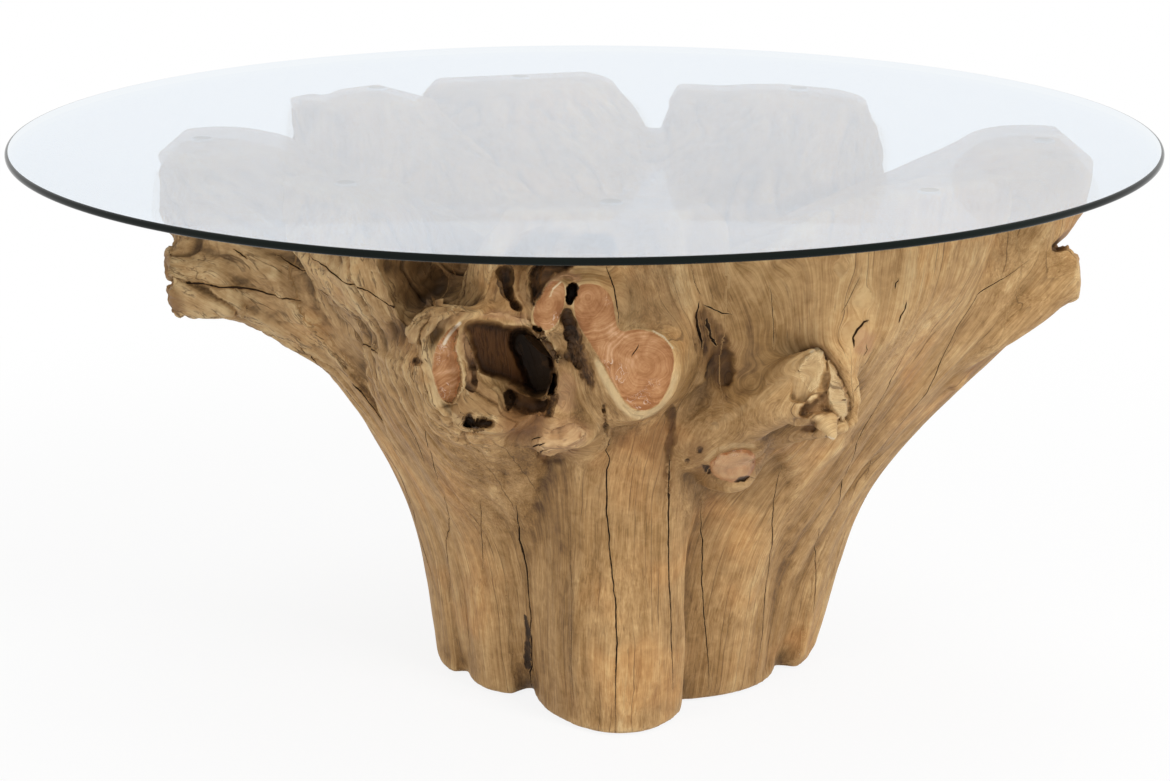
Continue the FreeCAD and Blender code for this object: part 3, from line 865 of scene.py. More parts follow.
def fibreWays(at):
    total = np.zeros_like(at)
    total[:, 2] = fibreSet["upright"]
    for name, line in fibreLines.items():
        width, weight = fibreSet["narrow"].get(name, (fibreSet["width"], 1))
        points = np.array([(*polarSpot(angle, reach), height) for angle, reach, height in line])
        steps = np.diff(points, axis=0)
        steps /= np.linalg.norm(steps, axis=1)[:, None]
        gap, stretch, share = lineGap(at, points)
        ahead = np.minimum(stretch + (share > 0.5), len(steps) - 1)
        total += (steps[stretch] + steps[ahead]) * (weight * np.exp(-(gap / width) ** 2))[:, None]
    return total / np.linalg.norm(total, axis=1)[:, None]


def gridValues(grid, place):    # values between the points of a grid, at places counted in its cells
    count = np.array(grid.shape[:3])
    place = np.clip(place, 0, count - 1.001)
    cell = place.astype(int)
    total = 0
    for step, weight in cellCorners(place - cell):
        index = cell + step
        value = grid[index[:, 0], index[:, 1], index[:, 2]]
        total = total + value * weight.reshape(-1, *[1] * (value.ndim - 1))
    return total


def fibreValues(grid, at):
    return gridValues(grid, (at - fibreLow) / fibreSet["cell"])


def tracedFibres():    # for each grid point, where its fibre meets the level, and the way there
    axes = [fibreLow[k] + fibreSet["cell"] * np.arange(fibreCount[k]) for k in range(3)]
    at = np.stack(np.meshgrid(*axes, indexing="ij"), -1).reshape(-1, 3)
    ways = fibreWays(at).reshape(*fibreCount, 3)
    gone = np.zeros(len(at))
    for _ in range(fibreSet["strides"]):
        way = fibreValues(ways, at)
        left = (at[:, 2] - fibreSet["level"]) / np.maximum(way[:, 2], 0.2)
        step = np.clip(left, -fibreSet["stride"], fibreSet["stride"])
        at = at - way * step[:, None]
        gone += step
    return np.stack((at[:, 0] - axisX, at[:, 1] - axisY, gone), 1).reshape(*fibreCount, 3)


# knots that the grain flows round: angle about the stump's axis, height, radius
knots = [
    (271.5, 0.545, 0.075), (262.5, 0.632, 0.060), (247.0, 0.530, 0.095), (259.0, 0.440, 0.040),
    (299.0, 0.470, 0.060), (296.0, 0.390, 0.045), (309.8, 0.567, 0.016), (311.2, 0.613, 0.013),
    (307.5, 0.657, 0.009), (347.2, 0.576, 0.014), (222.0, 0.470, 0.012), (196.0, 0.585, 0.018),
    (212.0, 0.560, 0.016), (18.0, 0.430, 0.030), (75.0, 0.480, 0.045), (112.0, 0.360, 0.022),
    (140.0, 0.500, 0.035), (178.0, 0.330, 0.018),
]


def grainOf(co, traced):
    angle, reach = polarOf(co)
    turn = np.radians(angle)
    shift = np.zeros(len(co))
    for knotAngle, height, radius in knots:
        side = (turn - math.radians(knotAngle) + np.pi) % (2 * np.pi) - np.pi
        across = side * reach
        apart = np.maximum(across ** 2 + (co[:, 2] - height) ** 2, radius ** 2)
        shift -= (1 - ease(np.abs(side), 0.9, 1.4)) * across * (radius ** 2 / apart) ** 1.5
    at = co.copy()
    at[:, 0] -= np.sin(turn) * shift
    at[:, 1] += np.cos(turn) * shift
    return fibreValues(traced, at)


# width, length, depth and seed of each kind of furrow and lump
relief = {
    "flute": (0.036, 0.70, 0.0060, 3),
    "furrow": (0.015, 0.26, 0.0036, 5),
    "ripple": (0.0065, 0.10, 0.0010, 7),
    "crease": (0.022, 0.20, 0.0050, 9),
    "lump": (0.030, 0.030, 0.0035, 11),
    "gnarl": (0.013, 0.013, 0.0034, 13),
    "tear": (0.0055, 0.024, 0.0034, 15),
    "leastRough": 0.22,
    "softSteps": 30,
}
# middles of the rings on the sawn faces, as x and z
piths = [(0.078, 0.548), (0.004, 0.640), (-0.045, 0.630), (-0.200, 0.545), (0.205, 0.380)]


def ringsOf(co):
    gaps = [np.hypot(co[:, 0] - x, co[:, 2] - z) for x, z in piths]
    return np.min(gaps, axis=0)


def roughOf(co):
    rough = np.clip(relief["leastRough"] + zoneSum(co, "rough"), 0, 1)
    return np.maximum(rough, facetShare(co, "rough"))


def facetShare(co, name):
    value = np.zeros(len(co))
    at = pixelsOf(co)[0]
    for depth, soft, traits, outline in facets.values():
        if name in traits:
            near, gap = outlineNear(at, outline)
            share = traits[name] * (1 - ease(gap + raggedEdge(at[near]), -soft, max(2, soft * 0.6)))
            value[near] = np.maximum(value[near], share)
    return np.where(co[:, 1] < stump["frontDepth"], value, 0)


def sculpted(mesh, traced):
    co, way, ends = places(mesh), outward(mesh), edgeEnds(mesh)
    grain = grainOf(co, traced)
    gap = faceGaps(co, sawnFaces)
    gap[(way[:, 1] > -0.35) & (gap < 0.004)] = 0.004
    rough = roughOf(co)
    level = np.minimum(stump["top"] - co[:, 2], co[:, 2] - stump["foot"])
    free = ease(gap, -0.001, 0.006) * ease(level, 0.004, 0.02) * (1 - facetShare(co, "calm"))

    def pattern(name, spot):
        width, length, depth, seed = relief[name]
        return lattice(spot / (width, width, length), seed), depth

    wave, depth = pattern("flute", grain)
    push = depth * wave
    wave, depth = pattern("furrow", grain)
    push -= depth * (0.20 + 0.80 * rough) * (1 - np.abs(wave)) ** 3
    wave, depth = pattern("ripple", grain)
    push += depth * (0.4 + 0.6 * rough) * wave
    wave, depth = pattern("crease", grain)
    push -= depth * rough * (1 - ease(np.abs(wave), 0.03, 0.22))
    wave, depth = pattern("lump", co)
    push += depth * rough ** 2 * wave
    wave, depth = pattern("gnarl", co)
    push -= depth * rough ** 3 * (1 - np.abs(wave)) ** 2
    wave, depth = pattern("tear", grain)
    push += depth * facetShare(co, "rough") ** 3 * wave
    co += way * (push * free)[:, None]
    co[:, 2] = np.clip(co[:, 2], stump["foot"], stump["top"])
    movedTo(mesh, co)
    way = outward(mesh)
    smooth = relaxed(co, ends, relief["softSteps"], 0.6)
    height = ((co - smooth) * way).sum(1)
    return co, way, grain, gap, rough, height


# pale strokes on the front: strength, width in pixels, and the pixels of the line
paleStrokes = {
    # painted highlight along the fork's ridge
    "forkRidge": (0.4, 6, [(814, 352), (795, 368), (782, 382), (762, 398), (732, 415), (712, 427)]),
    "crescentEdge": (1.0, 2.0, [(460, 323), (453, 330), (447, 338), (444, 344)]),
    "collar": (0.55, 4, [(433, 346), (429, 372), (437, 398), (448, 411), (458, 421)]),
    "tornEdge": (0.6, 1.5, [(456, 346), (460, 360), (464, 378), (468, 394)]),
    "kidneyTop": (0.9, 1.2, [(653, 331), (664, 337), (673, 348)]),
    # painted highlight on the petal's upper edge
    "petalEdge": (0.9, 1.0, [(550, 297), (553, 289), (561, 282)]),
    "forkTip": (0.85, 2, [(811, 352), (817, 349), (822, 353)]),
    "nubTip": (0.9, 1.5, [(829, 437), (834, 439)]),
    "knobRim": (0.5, 3, [(706, 459), (716, 450), (735, 445), (753, 446)]),
}
# the weathered bulge beside the sawn face, in pixels
greyBulge = {"middle": (650, 300), "size": (42, 40), "strength": 0.8}


def paleStroked(at, values):
    for strength, width, line in paleStrokes.values():
        gap = lineGap(at, np.array(line, float))[0]
        values = np.maximum(values, strength * (1 - ease(gap, width * 0.5, width * 1.6)))
    return values


def stainsAndPaintedLightOf(co, way, chains):
    # painted shade: the walls of the hollows are darkened
    dark = np.zeros(len(co))
    for strength, chain in chains:
        spots = np.array([tuple(spot) for spot, radius in chain])
        radii = np.array([radius for spot, radius in chain])
        reach = radii.max() + 0.02
        near = ((co > spots.min(0) - reach) & (co < spots.max(0) + reach)).all(1)
        gap, stretch, share = lineGap(co[near], spots)
        gap -= radii[stretch] * (1 - share) + radii[stretch + 1] * share
        dark[near] = np.maximum(dark[near], strength * (1 - ease(gap, 0.000, 0.004)))
    at = pixelsOf(co)[0]
    front = facingFront(co, way, 0.2)
    dark = np.maximum(dark, facetShare(co, "dark"))
    pale = facetShare(co, "pale")
    pale[front] = paleStroked(at[front], pale[front])
    gap = faceGaps(co, ("kidney",))
    lip = lipWidths(co)
    collar = 0.7 * ease(gap, 0.0, 0.002) * (1 - ease(gap, lip * 0.7, lip * 1.3)) * ease(lip, 0.005, 0.010)
    pale = np.maximum(pale, np.where(co[:, 1] < -0.42, collar, 0))
    bulge = np.linalg.norm((at - greyBulge["middle"]) / greyBulge["size"], axis=1)
    grey = np.where(front, greyBulge["strength"] * (1 - ease(bulge, 0.6, 1.2)), 0)
    grey = np.maximum(np.maximum(zoneSum(co, "grey"), grey), facetShare(co, "grey"))
    return np.stack((dark, pale, grey - zoneSum(co, "warm")), 1)


# how much wood stands round each place, on a grid of cells blurred twice; where it is high, the colour gets
# painted shade
shelterSet = {
    "cell": 0.012,
    "reach": 2,
    "off": 0.012,
    "flat": 0.31,
    "margin": 6,
    "skip": 0.0005,             # past a hit, before the next ray
    "topFaces": ((0.15, 0.5), (0.10, 0.05)),      # how far they face up, and how far below the top
    "underFaces": ((0.5, 0.9), (0.02, 0.004)),    # how far they face down, and how far above the floor
}


def blurred(grid, reach):
    for axis in range(3):
        edge = [(0, 0)] * 3
        edge[axis] = (reach + 1, reach)
        total = np.cumsum(np.pad(grid, edge, mode="edge"), axis=axis)
        width = 2 * reach + 1
        count = grid.shape[axis]
        late = np.take(total, range(width, width + count), axis)
        early = np.take(total, range(count), axis)
        grid = (late - early) / width
    return grid


def shelterOf(mesh, co, way):
    cell = shelterSet["cell"]
    tree = treeOf(mesh)
    low = co.min(0) - shelterSet["margin"] * cell
    count = np.ceil((co.max(0) - low) / cell).astype(int) + shelterSet["margin"] + 1
    levels = low[2] + cell * np.arange(count[2])
    grid = np.zeros(count)
    for column in np.ndindex(count[0], count[1]):
        spot = Vector((low[0] + cell * column[0], low[1] + cell * column[1], levels[0]))
        inside = False
        while True:
            hit = tree.ray_cast(spot, Vector((0, 0, 1)))[0]
            if hit is None:
                break
            inside = not inside
            grid[column][levels > hit.z] = inside
            spot = hit + Vector((0, 0, shelterSet["skip"]))
    foot = np.searchsorted(levels, stump["foot"] + cell)
    head = np.searchsorted(levels, stump["top"] - cell) - 1
    grid[:, :, :foot] = grid[:, :, foot:foot + 1]
    grid[:, :, head:] = grid[:, :, head:head + 1]
    grid = blurred(blurred(grid, shelterSet["reach"]), shelterSet["reach"])
    total = gridValues(grid, (co + way * shelterSet["off"] - low) / cell)
    facing, below = shelterSet["topFaces"]
    top = ease(way[:, 2], *facing) * ease(stump["top"] - co[:, 2], *below)
    facing, above = shelterSet["underFaces"]
    under = ease(-way[:, 2], *facing) * ease(co[:, 2] - stump["foot"], *above)
    return (total - shelterSet["flat"]) * (1 - np.maximum(top, under))


# dirt and painted shade in the furrows and in sheltered places
soilAndShadeSet = {"depths": (0.0006, 0.0045), "least": 0.20, "rough": 0.36, "shelter": (0.05, 0.34), "most": 0.55}


def soilAndShadeOf(height, rough, shelter):
    soilAndShade = ease(-height, *soilAndShadeSet["depths"]) * (soilAndShadeSet["least"] + soilAndShadeSet["rough"] * rough)
    return 1 - (1 - soilAndShade) * (1 - soilAndShadeSet["most"] * ease(shelter, *soilAndShadeSet["shelter"]))


def keepVectors(mesh, name, values):
    kept = mesh.attributes.new(name, "FLOAT_VECTOR", "POINT")
    kept.data.foreach_set("vector", values.astype(np.float32).ravel())


def paintMarks(mesh, traced, chains):
    co, way, grain, gap, rough, height = sculpted(mesh, traced)
    keepVectors(mesh, "grain", grain)
    keepVectors(mesh, "cut", np.stack((np.clip(gap, -0.03, 0.03), ringsOf(co), height), 1))
    keepVectors(mesh, "stain", stainsAndPaintedLightOf(co, way, chains))
    shelter = shelterOf(mesh, co, way)
    soilAndShade = soilAndShadeOf(height, rough, shelter)
    keepVectors(mesh, "tint", np.stack((facetShare(co, "pink"), facetShare(co, "brownAndShade"), soilAndShade), 1))
    keepVectors(mesh, "lie", np.stack((shelter, rough, zoneSum(co, "lift")), 1))


# teak: fibres on the traced coordinates, with rings on the sawn faces
teak = {
    "ramp": [(0.12, srgb(98, 69, 40)), (0.36, srgb(147, 112, 68)), (0.50, srgb(168, 132, 87)),
             (0.64, srgb(187, 151, 103)), (0.90, srgb(214, 184, 136))],
    "grey": srgb(132, 108, 78), "warm": srgb(190, 140, 94), "lip": srgb(206, 180, 136),
    # the hollow colour: the dark that dirt, painted shade and the dark marks are drawn toward
    "crack": srgb(80, 55, 32), "hollow": srgb(44, 30, 16), "white": srgb(232, 216, 200),
    "pink": srgb(196, 150, 116), "brownAndShade": srgb(158, 128, 92),
    "sawn": [(0.20, srgb(146, 94, 54)), (0.45, srgb(172, 120, 76)), (0.60, srgb(184, 134, 90)),
             (0.85, srgb(206, 160, 120))],
    "fibres": {    # how fine across and along the fibres, detail, roughness, distortion
        "broad": (16, 3, 3, 0.5, 0), "streak": (130, 5, 3, 0.6, 0), "fibre": (420, 9, 2, 0.6, 0),
        "hair": (950, 22, 1, 0.5, 0), "blotch": (55, 16, 4, 0.62, 0.6), "wobble": (24, 6, 3, 0.55, 0),
        "speck": (330, 34, 2, 0.5, 0), "seam": (70, 7, 4, 0.6, 0.4),
    },
    "clouds": {    # how fine, detail, roughness, distortion
        "mottle": (60, 4, 0.62, 0.5), "patch": (8, 3, 0.5, 0.2), "ragged": (120, 3, 0.6, 0),
        "wander": (26, 3, 0.5, 0), "figure": (38, 5, 0.62, 0.8), "scratch": (45, 2, 0.5, 2.2),
    },
    "toneParts": {"broad": 0.62, "streak": 0.38, "fibre": 0.44, "hair": 0.26, "mottle": 0.50, "patch": 0.55},
    "bumpParts": {"streak": 0.35, "fibre": 0.45, "hair": 0.25, "mottle": 0.3},
    "reliefTone": 40,
    "checksRound": 36,
    "ringsPerMetre": 300,
}


def stretched(tree, vector, *factors):
    return node(tree, "ShaderNodeVectorMath", {"operation": "MULTIPLY"}, {0: vector, 1: factors})


def attribute(tree, name):
    return node(tree, "ShaderNodeAttribute", {"attribute_name": name}, None, 1)


def parts(tree, vector):
    made = tree.nodes.new("ShaderNodeSeparateXYZ")
    tree.links.new(vector.socket, made.inputs[0])
    return [Wire(out) for out in made.outputs]


def ramped(tree, value, stops):
    return node(tree, "ShaderNodeValToRGB", {"stops": [(at, shade[:3]) for at, shade in stops]}, {0: value})


def makeCrackWood():
    return plainMaterial("crack_wall", (90, 3, 0.6), (teak["crack"], teak["hollow"]), 0.9)


def makeTeak():
    made, tree = newMaterial("teak_root")
    grain = attribute(tree, "grain")
    gap, rings, height = parts(tree, attribute(tree, "cut"))
    dark, pale, grey = parts(tree, attribute(tree, "stain"))
    pink, brownAndShade, soilAndShade = parts(tree, attribute(tree, "tint"))
    shelter, rough, lift = parts(tree, attribute(tree, "lie"))
    acrossX, acrossY, along = parts(tree, grain)
    spot = objectSpot(tree)
    noises = {}
    for name, (fineAcross, fineAlong, *rest) in teak["fibres"].items():
        noises[name] = noise(tree, stretched(tree, grain, fineAcross, fineAcross, fineAlong), 1, *rest)
    for name, values in teak["clouds"].items():
        noises[name] = noise(tree, spot, *values)
    streak, mottle, patch, blotch = [noises[name] for name in ("streak", "mottle", "patch", "blotch")]
    ragged, wander = noises["ragged"], noises["wander"]

    # furrows darker and ridges lighter by their height: partly wear, partly painted shade
    tone = height * teak["reliefTone"] + 0.5
    for name, weight in teak["toneParts"].items():
        tone = tone + (noises[name] - 0.5) * weight
    tone = tone + (blotch - 0.5) * (rough * 0.55 + 0.15)
    # painted shade: the shelter darkens the tone
    tone = (tone - 0.5) * (1 - brownAndShade * 0.55) + 0.5 - shelter * 0.55 + lift
    colour = ramped(tree, tone, teak["ramp"])
    warm = patch.smooth(0.50, 0.72) * 0.35 + (0 - grey).smooth(0.0, 1.0) * 0.40
    colour = blend(tree, warm, colour, teak["warm"], "SOFT_LIGHT")
    # the grey: weathered wood, and painted shade on the fork's flank
    colour = blend(tree, grey.smooth(0.0, 1.0) * 0.55, colour, blend(tree, 0.6, colour, teak["grey"]))

    # drying checks: one thin line in each narrow sector of the trunk, alive here and there
    sector = acrossY.math("ARCTAN2", acrossX) * teak["checksRound"] + (noises["wobble"] - 0.5) * 2.4
    offset = (sector.math("FRACT") - 0.5).math("ABSOLUTE")
    address = node(tree, "ShaderNodeCombineXYZ", None, {0: sector.math("FLOOR") * 3.71, 1: along * 2.3})
    alive = noise(tree, address, 1, 2, 0.6)
    check = (1 - offset.smooth(0.02, 0.075)) * alive.smooth(0.53, 0.60)
    check = check.math("MAXIMUM", noises["speck"].smooth(0.64, 0.74) * 0.5)
    outside = (gap + (ragged - 0.5) * 0.003).smooth(-0.0008, 0.0008)
    check = check * outside * (1 - brownAndShade) * (1 - rough * 0.8)
    colour = blend(tree, check * 0.75, colour, teak["crack"])

    # creases of the rough wood: thin dark lines along the fibres
    crease = 1 - (noises["seam"] - 0.5).math("ABSOLUTE").smooth(0.004, 0.030)
    crease = crease * blotch.smooth(0.42, 0.58) * rough * outside
    colour = blend(tree, crease * 0.75, colour, teak["crack"])

    # sawn faces: uneven rings, a few pale scratches and a darker outer band
    ringPlace = (rings + (wander - 0.5) * 0.022) * teak["ringsPerMetre"]
    ring = node(tree, "ShaderNodeTexNoise", {"noise_dimensions": "1D"},
                {"W": ringPlace, "Scale": 1.0, "Detail": 2.0})
    faceTone = (ring - 0.5) * 0.55 + (noises["figure"] - 0.5) * 1.5 + 0.49
    faceTone = faceTone - (1 - (0 - gap).smooth(0.0, 0.010)) * 0.12
    face = ramped(tree, faceTone, teak["sawn"])
    scratch = 1 - (noises["scratch"] - 0.5).math("ABSOLUTE").smooth(0.004, 0.016)
    face = blend(tree, scratch * wander.smooth(0.52, 0.62) * 0.45, face, teak["white"])
    colour = blend(tree, 1 - outside, colour, face)
    colour = blend(tree, pink, colour, blend(tree, 0.6, colour, teak["pink"]))
    # the brown multiply: the wood's own brown on some facets, and painted shade in the recesses, pits and
    # valley and under the knots
    colour = blend(tree, brownAndShade, colour, blend(tree, 1.0, colour, teak["brownAndShade"], "MULTIPLY"))
    # the pale: the callus, collar and sapwood colour, and painted highlights on the fork ridge and the petal
    # edge
    colour = blend(tree, (pale + (ragged - 0.5) * 0.5).smooth(0.25, 0.75) * pale, colour, teak["lip"])
    colour = blend(tree, pale.smooth(0.75, 1.0) * 0.6, colour, teak["white"])

    # dirt and painted shade: furrows and sheltered places are drawn toward the hollow colour
    colour = blend(tree, soilAndShade * outside, colour, teak["hollow"])
    # dark marks: charring, and painted shade in the holes, gaps, pits and recesses
    darkShare = dark * 1.25 + (mottle - 0.5) * 1.1 + (streak - 0.5) * 1.4 - 0.42
    darkShare = darkShare.smooth(-0.05, 0.75) * dark.smooth(0.0, 0.2)
    colour = blend(tree, darkShare.smooth(0.0, 0.55) * 0.85, colour, teak["crack"])
    colour = blend(tree, darkShare.smooth(0.45, 1.0) * 0.92, colour, teak["hollow"])

    bumps = check * -1.1 - crease * 0.9
    for name, weight in teak["bumpParts"].items():
        bumps = bumps + noises[name] * weight
    bumps = bumps * outside + ring * 0.12 * (1 - outside)
    rise = bumpOf(tree, bumps, 0.55, 0.0020)
    matt = 0.62 + (streak - 0.5) * 0.3 - (1 - outside) * 0.14
    finishMaterial(tree, principled(tree, {"Base Color": colour, "Roughness": matt, "Normal": rise,
                                           "Specular IOR Level": 0.3}))
    return made


# drying cracks seen in the photograph: width, depth, and pixels of its 1170 x 781 frame
photoCracks = {
    "frontMain": (0.0018, 0.016, [
        (609, 428), (607, 470), (606, 511), (611, 560), (615, 603), (616, 670), (617, 733)]),
    "frontLeft": (0.0008, 0.006, [(569, 520), (571, 560), (572, 620), (573, 700)]),
    "leftSeam": (0.0035, 0.022, [(517, 505), (520, 540), (528, 580), (531, 620), (532, 660), (532, 688)]),
    "leftLobe": (0.0009, 0.006, [(443, 490), (446, 540), (450, 603)]),
    "leftMiddle": (0.0008, 0.006, [(481, 500), (481, 530), (482, 570)]),
    "rightSeam": (0.0022, 0.02, [(668, 455), (667, 496), (668, 540), (671, 593), (672, 640), (673, 690)]),
    "rightLong": (0.0015, 0.014, [(702, 493), (703, 540), (703, 593), (706, 650), (708, 690)]),
    "rightBend": (0.0013, 0.01, [(781, 465), (777, 490), (773, 516), (768, 575), (762, 634), (755, 684)]),
    "rightEdge": (0.001, 0.007, [(820, 528), (816, 570), (813, 613)]),
    "panelLong": (0.0013, 0.01, [
        (1030, 261), (1004, 280), (978, 295), (968, 312), (958, 327), (941, 359), (926, 392), (910, 412),
        (886, 441), (864, 480)]),
    "panelMiddle": (0.0013, 0.01, [
        (917, 331), (905, 352), (894, 373), (876, 410), (857, 443), (843, 480), (832, 520)]),
    "panelShort": (0.0009, 0.006, [(874, 349), (866, 363), (851, 396)]),
    "panelHigh": (0.0007, 0.005, [(860, 277), (850, 297), (841, 314)]),
    "underGlass": (0.0011, 0.008, [(691, 267), (695, 282), (701, 297)]),
    "notchLeft": (0.004, 0.01, [(700, 301), (697, 312), (697, 326), (700, 338), (702, 350)]),
    "notchMiddle": (0.0046, 0.01, [(706, 318), (709, 327), (711, 338), (717, 346)]),
    "notchHair": (0.0016, 0.005, [(703, 303), (712, 308), (722, 314), (733, 316)]),
    "besideKidney": (0.0014, 0.01, [(607, 266), (612, 284), (617, 308), (619, 326)]),
    "kidneyCheck": (0.0014, 0.004, [(638, 344), (636, 350), (632, 357)]),
    "besideFork": (0.0008, 0.006, [(770, 284), (773, 310), (773, 350)]),
    "eyeLeft": (0.0032, 0.007, [(854, 348), (853, 338), (857, 329), (864, 322), (869, 321)]),
    "eyeFoot": (0.0012, 0.004, [(866, 344), (867, 350), (864, 356)]),
    "speckRight": (0.0026, 0.006, [(906, 302), (905, 309), (901, 316), (899, 323)]),
    "speckHigh": (0.0018, 0.005, [(899, 279), (896, 283), (895, 289)]),
    "limbRidge": (0.002, 0.006, [(309, 255), (336, 275), (362, 288), (389, 305), (415, 325)]),
    "limbMiddle": (0.002, 0.006, [(273, 252), (299, 268), (322, 291), (346, 311), (362, 321)]),
    "limbNotch": (0.0024, 0.007, [(171, 281), (190, 283), (216, 286), (259, 291), (303, 301)]),
    "limbShort": (0.0022, 0.006, [(233, 249), (240, 253), (247, 259)]),
    "limbUnder": (0.0012, 0.004, [(296, 342), (322, 368), (349, 394), (370, 420)]),
    "limbLow": (0.0014, 0.005, [(336, 366), (362, 392), (382, 420), (396, 450)]),
    "limbMark": (0.002, 0.005, [(358, 338), (366, 345), (378, 354)]),
    "lobeLeft": (0.0012, 0.005, [(402, 411), (415, 437), (425, 464)]),
    "lobeRight": (0.0012, 0.005, [(422, 424), (432, 457), (438, 482)]),
    "knotSplitHigh": (0.0012, 0.004, [(531, 440), (536, 438), (542, 437)]),
    "knotSplitMiddle": (0.0014, 0.004, [(532, 447), (538, 445), (545, 443)]),
    "knotSplitLow": (0.0014, 0.004, [(537, 455), (543, 451), (549, 449)]),
}
# more cracks where the photograph doesn't look: angle, lowest and highest point, width
otherCracks = [
    (12, 0.05, 0.40, 0.0020), (28, 0.003, 0.26, 0.0016), (50, 0.10, 0.45, 0.0022),
    (68, 0.003, 0.22, 0.0016), (92, 0.06, 0.42, 0.0020), (110, 0.003, 0.30, 0.0016),
    (133, 0.04, 0.40, 0.0022), (150, 0.10, 0.36, 0.0014), (172, 0.03, 0.38, 0.0018),
    (190, 0.12, 0.34, 0.0014),
]
crackSet = {
    "step": 0.006,
    "rise": 0.006,
    "depthShare": 6,
    "endShare": 0.15,
    "taper": 4,
    "wander": 0.0014,
    "driftStep": 0.35,
    "driftLimit": 1.5,
    "swell": (0.75, 0.5),
    "sway": (2.5, 1.7),         # degrees, and radians for each stretch
    "stretches": 5,
    "seed": 40,
}


def outsideRay(angle, height):
    turn = math.radians(angle)
    way = Vector((math.cos(turn), math.sin(turn), 0))
    return Vector((axisX, axisY, height)) + way * stump["farReach"], -way


def surfacePath(tree, rays):
    hits = [tree.ray_cast(*ray)[:2] for ray in rays]
    hits = [(spot, way) for spot, way in hits if spot is not None]
    spots, ways = [], []
    for (start, startWay), (end, endWay) in zip(hits, hits[1:]):
        steps = max(2, round((end - start).length / crackSet["step"]))
        for step in range(steps):
            share = step / steps
            near = tree.find_nearest(start.lerp(end, share))
            spots.append(near[0])
            ways.append(startWay.lerp(endWay, share).normalized())
    spots.append(hits[-1][0])
    ways.append(hits[-1][1])
    return spots, ways


# a thin wedge along the crack, drawn section by section
def addBlade(bm, spots, ways, width, depth, seed):
    last = len(spots) - 1
    rng = np.random.default_rng(seed)
    drift = np.cumsum(rng.normal(0, crackSet["driftStep"], last + 1))
    limit = crackSet["driftLimit"]
    drift = crackSet["wander"] * np.clip(drift - drift.mean(), -limit, limit)
    least, more = crackSet["swell"]
    swell = least + more * rng.random(last + 1)
    face = None
    for count, (spot, way) in enumerate(zip(spots, ways)):
        along = (spots[min(count + 1, last)] - spots[max(count - 1, 0)]).normalized()
        side = way.cross(along).normalized()
        taper = min(1, crackSet["endShare"] + crackSet["taper"] * min(count, last - count) / max(last, 1))
        half = width / 2 * taper * swell[count]
        deep = depth * taper
        rise = crackSet["rise"]
        flare = half * (1 + rise / deep)
        middle = spot + side * drift[count]
        above = middle + way * rise
        corners = [above + side * flare, above - side * flare, middle - way * deep]
        if face is None:
            face = bm.faces.new([bm.verts.new(corner) for corner in corners])
            continue
        grown = bmesh.ops.extrude_face_region(bm, geom=[face, *face.edges, *face.verts])["geom"]
        face = next(item for item in grown if isinstance(item, bmesh.types.BMFace) and len(item.verts) == 3)
        for vert, corner in zip(face.verts, corners):
            vert.co = corner


def crackBlades(mesh):
    tree = treeOf(mesh)
    bm = bmesh.new()
    seed = crackSet["seed"]
    for width, depth, path in photoCracks.values():
        addBlade(bm, *surfacePath(tree, [cameraRay(pixel) for pixel in path]), width, depth, seed)
        seed += 1
    sway, pace = crackSet["sway"]
    last = crackSet["stretches"]
    for angle, low, high, width in otherCracks:
        rays = [outsideRay(angle + sway * math.sin(step * pace + angle), low + (high - low) * step / last)
                for step in range(last + 1)]
        addBlade(bm, *surfacePath(tree, rays), width, width * crackSet["depthShare"], seed)
        seed += 1
    bmesh.ops.recalc_face_normals(bm, faces=bm.faces)
    for face in bm.faces:
        face.material_index = 1
    return meshFrom(bm, "blades")


def prismOver(corners):
    low, high = stump["sawHeights"]
    bm = bmesh.new()
    base = bm.faces.new([bm.verts.new((x, y, low)) for x, y in corners])
    grown = bmesh.ops.extrude_face_region(bm, geom=[base])["geom"]
    upper = [item for item in grown if isinstance(item, bmesh.types.BMVert)]
    bmesh.ops.translate(bm, vec=(0, 0, high - low), verts=upper)
    bmesh.ops.recalc_face_normals(bm, faces=bm.faces)
    for face in bm.faces:
        face.material_index = 2
    return meshFrom(bm, "prism")


def cutBy(mesh, tool, operation):
    cutter = placed("cutter", tool)
    made = withModifier(mesh, "BOOLEAN", object=cutter, operation=operation, solver="MANIFOLD",
                        material_mode="INDEX")
    bpy.data.objects.remove(cutter)
    return made


def sawApart(skin, finishes):
    blades = crackBlades(skin)
    skin.materials.clear()
    for finish in finishes:
        skin.materials.append(finish)
    cracked = cutBy(skin, blades, "DIFFERENCE")
    print("cracks:", len(photoCracks) + len(otherCracks), "cut,", len(cracked.polygons), "faces")
    angles = list(stump["seams"].values())
    heart = stump["heartRadius"]
    for count, name in enumerate(rootNames):
        start, end = angles[count], angles[(count + 1) % len(angles)]
        corners = [polarSpot(start, heart), polarSpot(start, stump["farReach"]),
                   polarSpot(end, stump["farReach"]), polarSpot(end, heart)]
        mesh = cutBy(cracked, prismOver(corners), "INTERSECT")
        finishRoot(name + "_root", mesh)
    corners = [polarSpot(angle, heart) for angle in angles]
    finishRoot("heart_block", cutBy(cracked, prismOver(corners), "INTERSECT"))


def finishRoot(name, mesh):
    mesh.name = name + "_wood"
    shaded(mesh)
    piece = newPiece(name + "_wood", mesh, "base")
    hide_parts(name)
    triangles = sum(len(face.vertices) - 2 for face in mesh.polygons)
    print("wood:", name, triangles, "triangles")


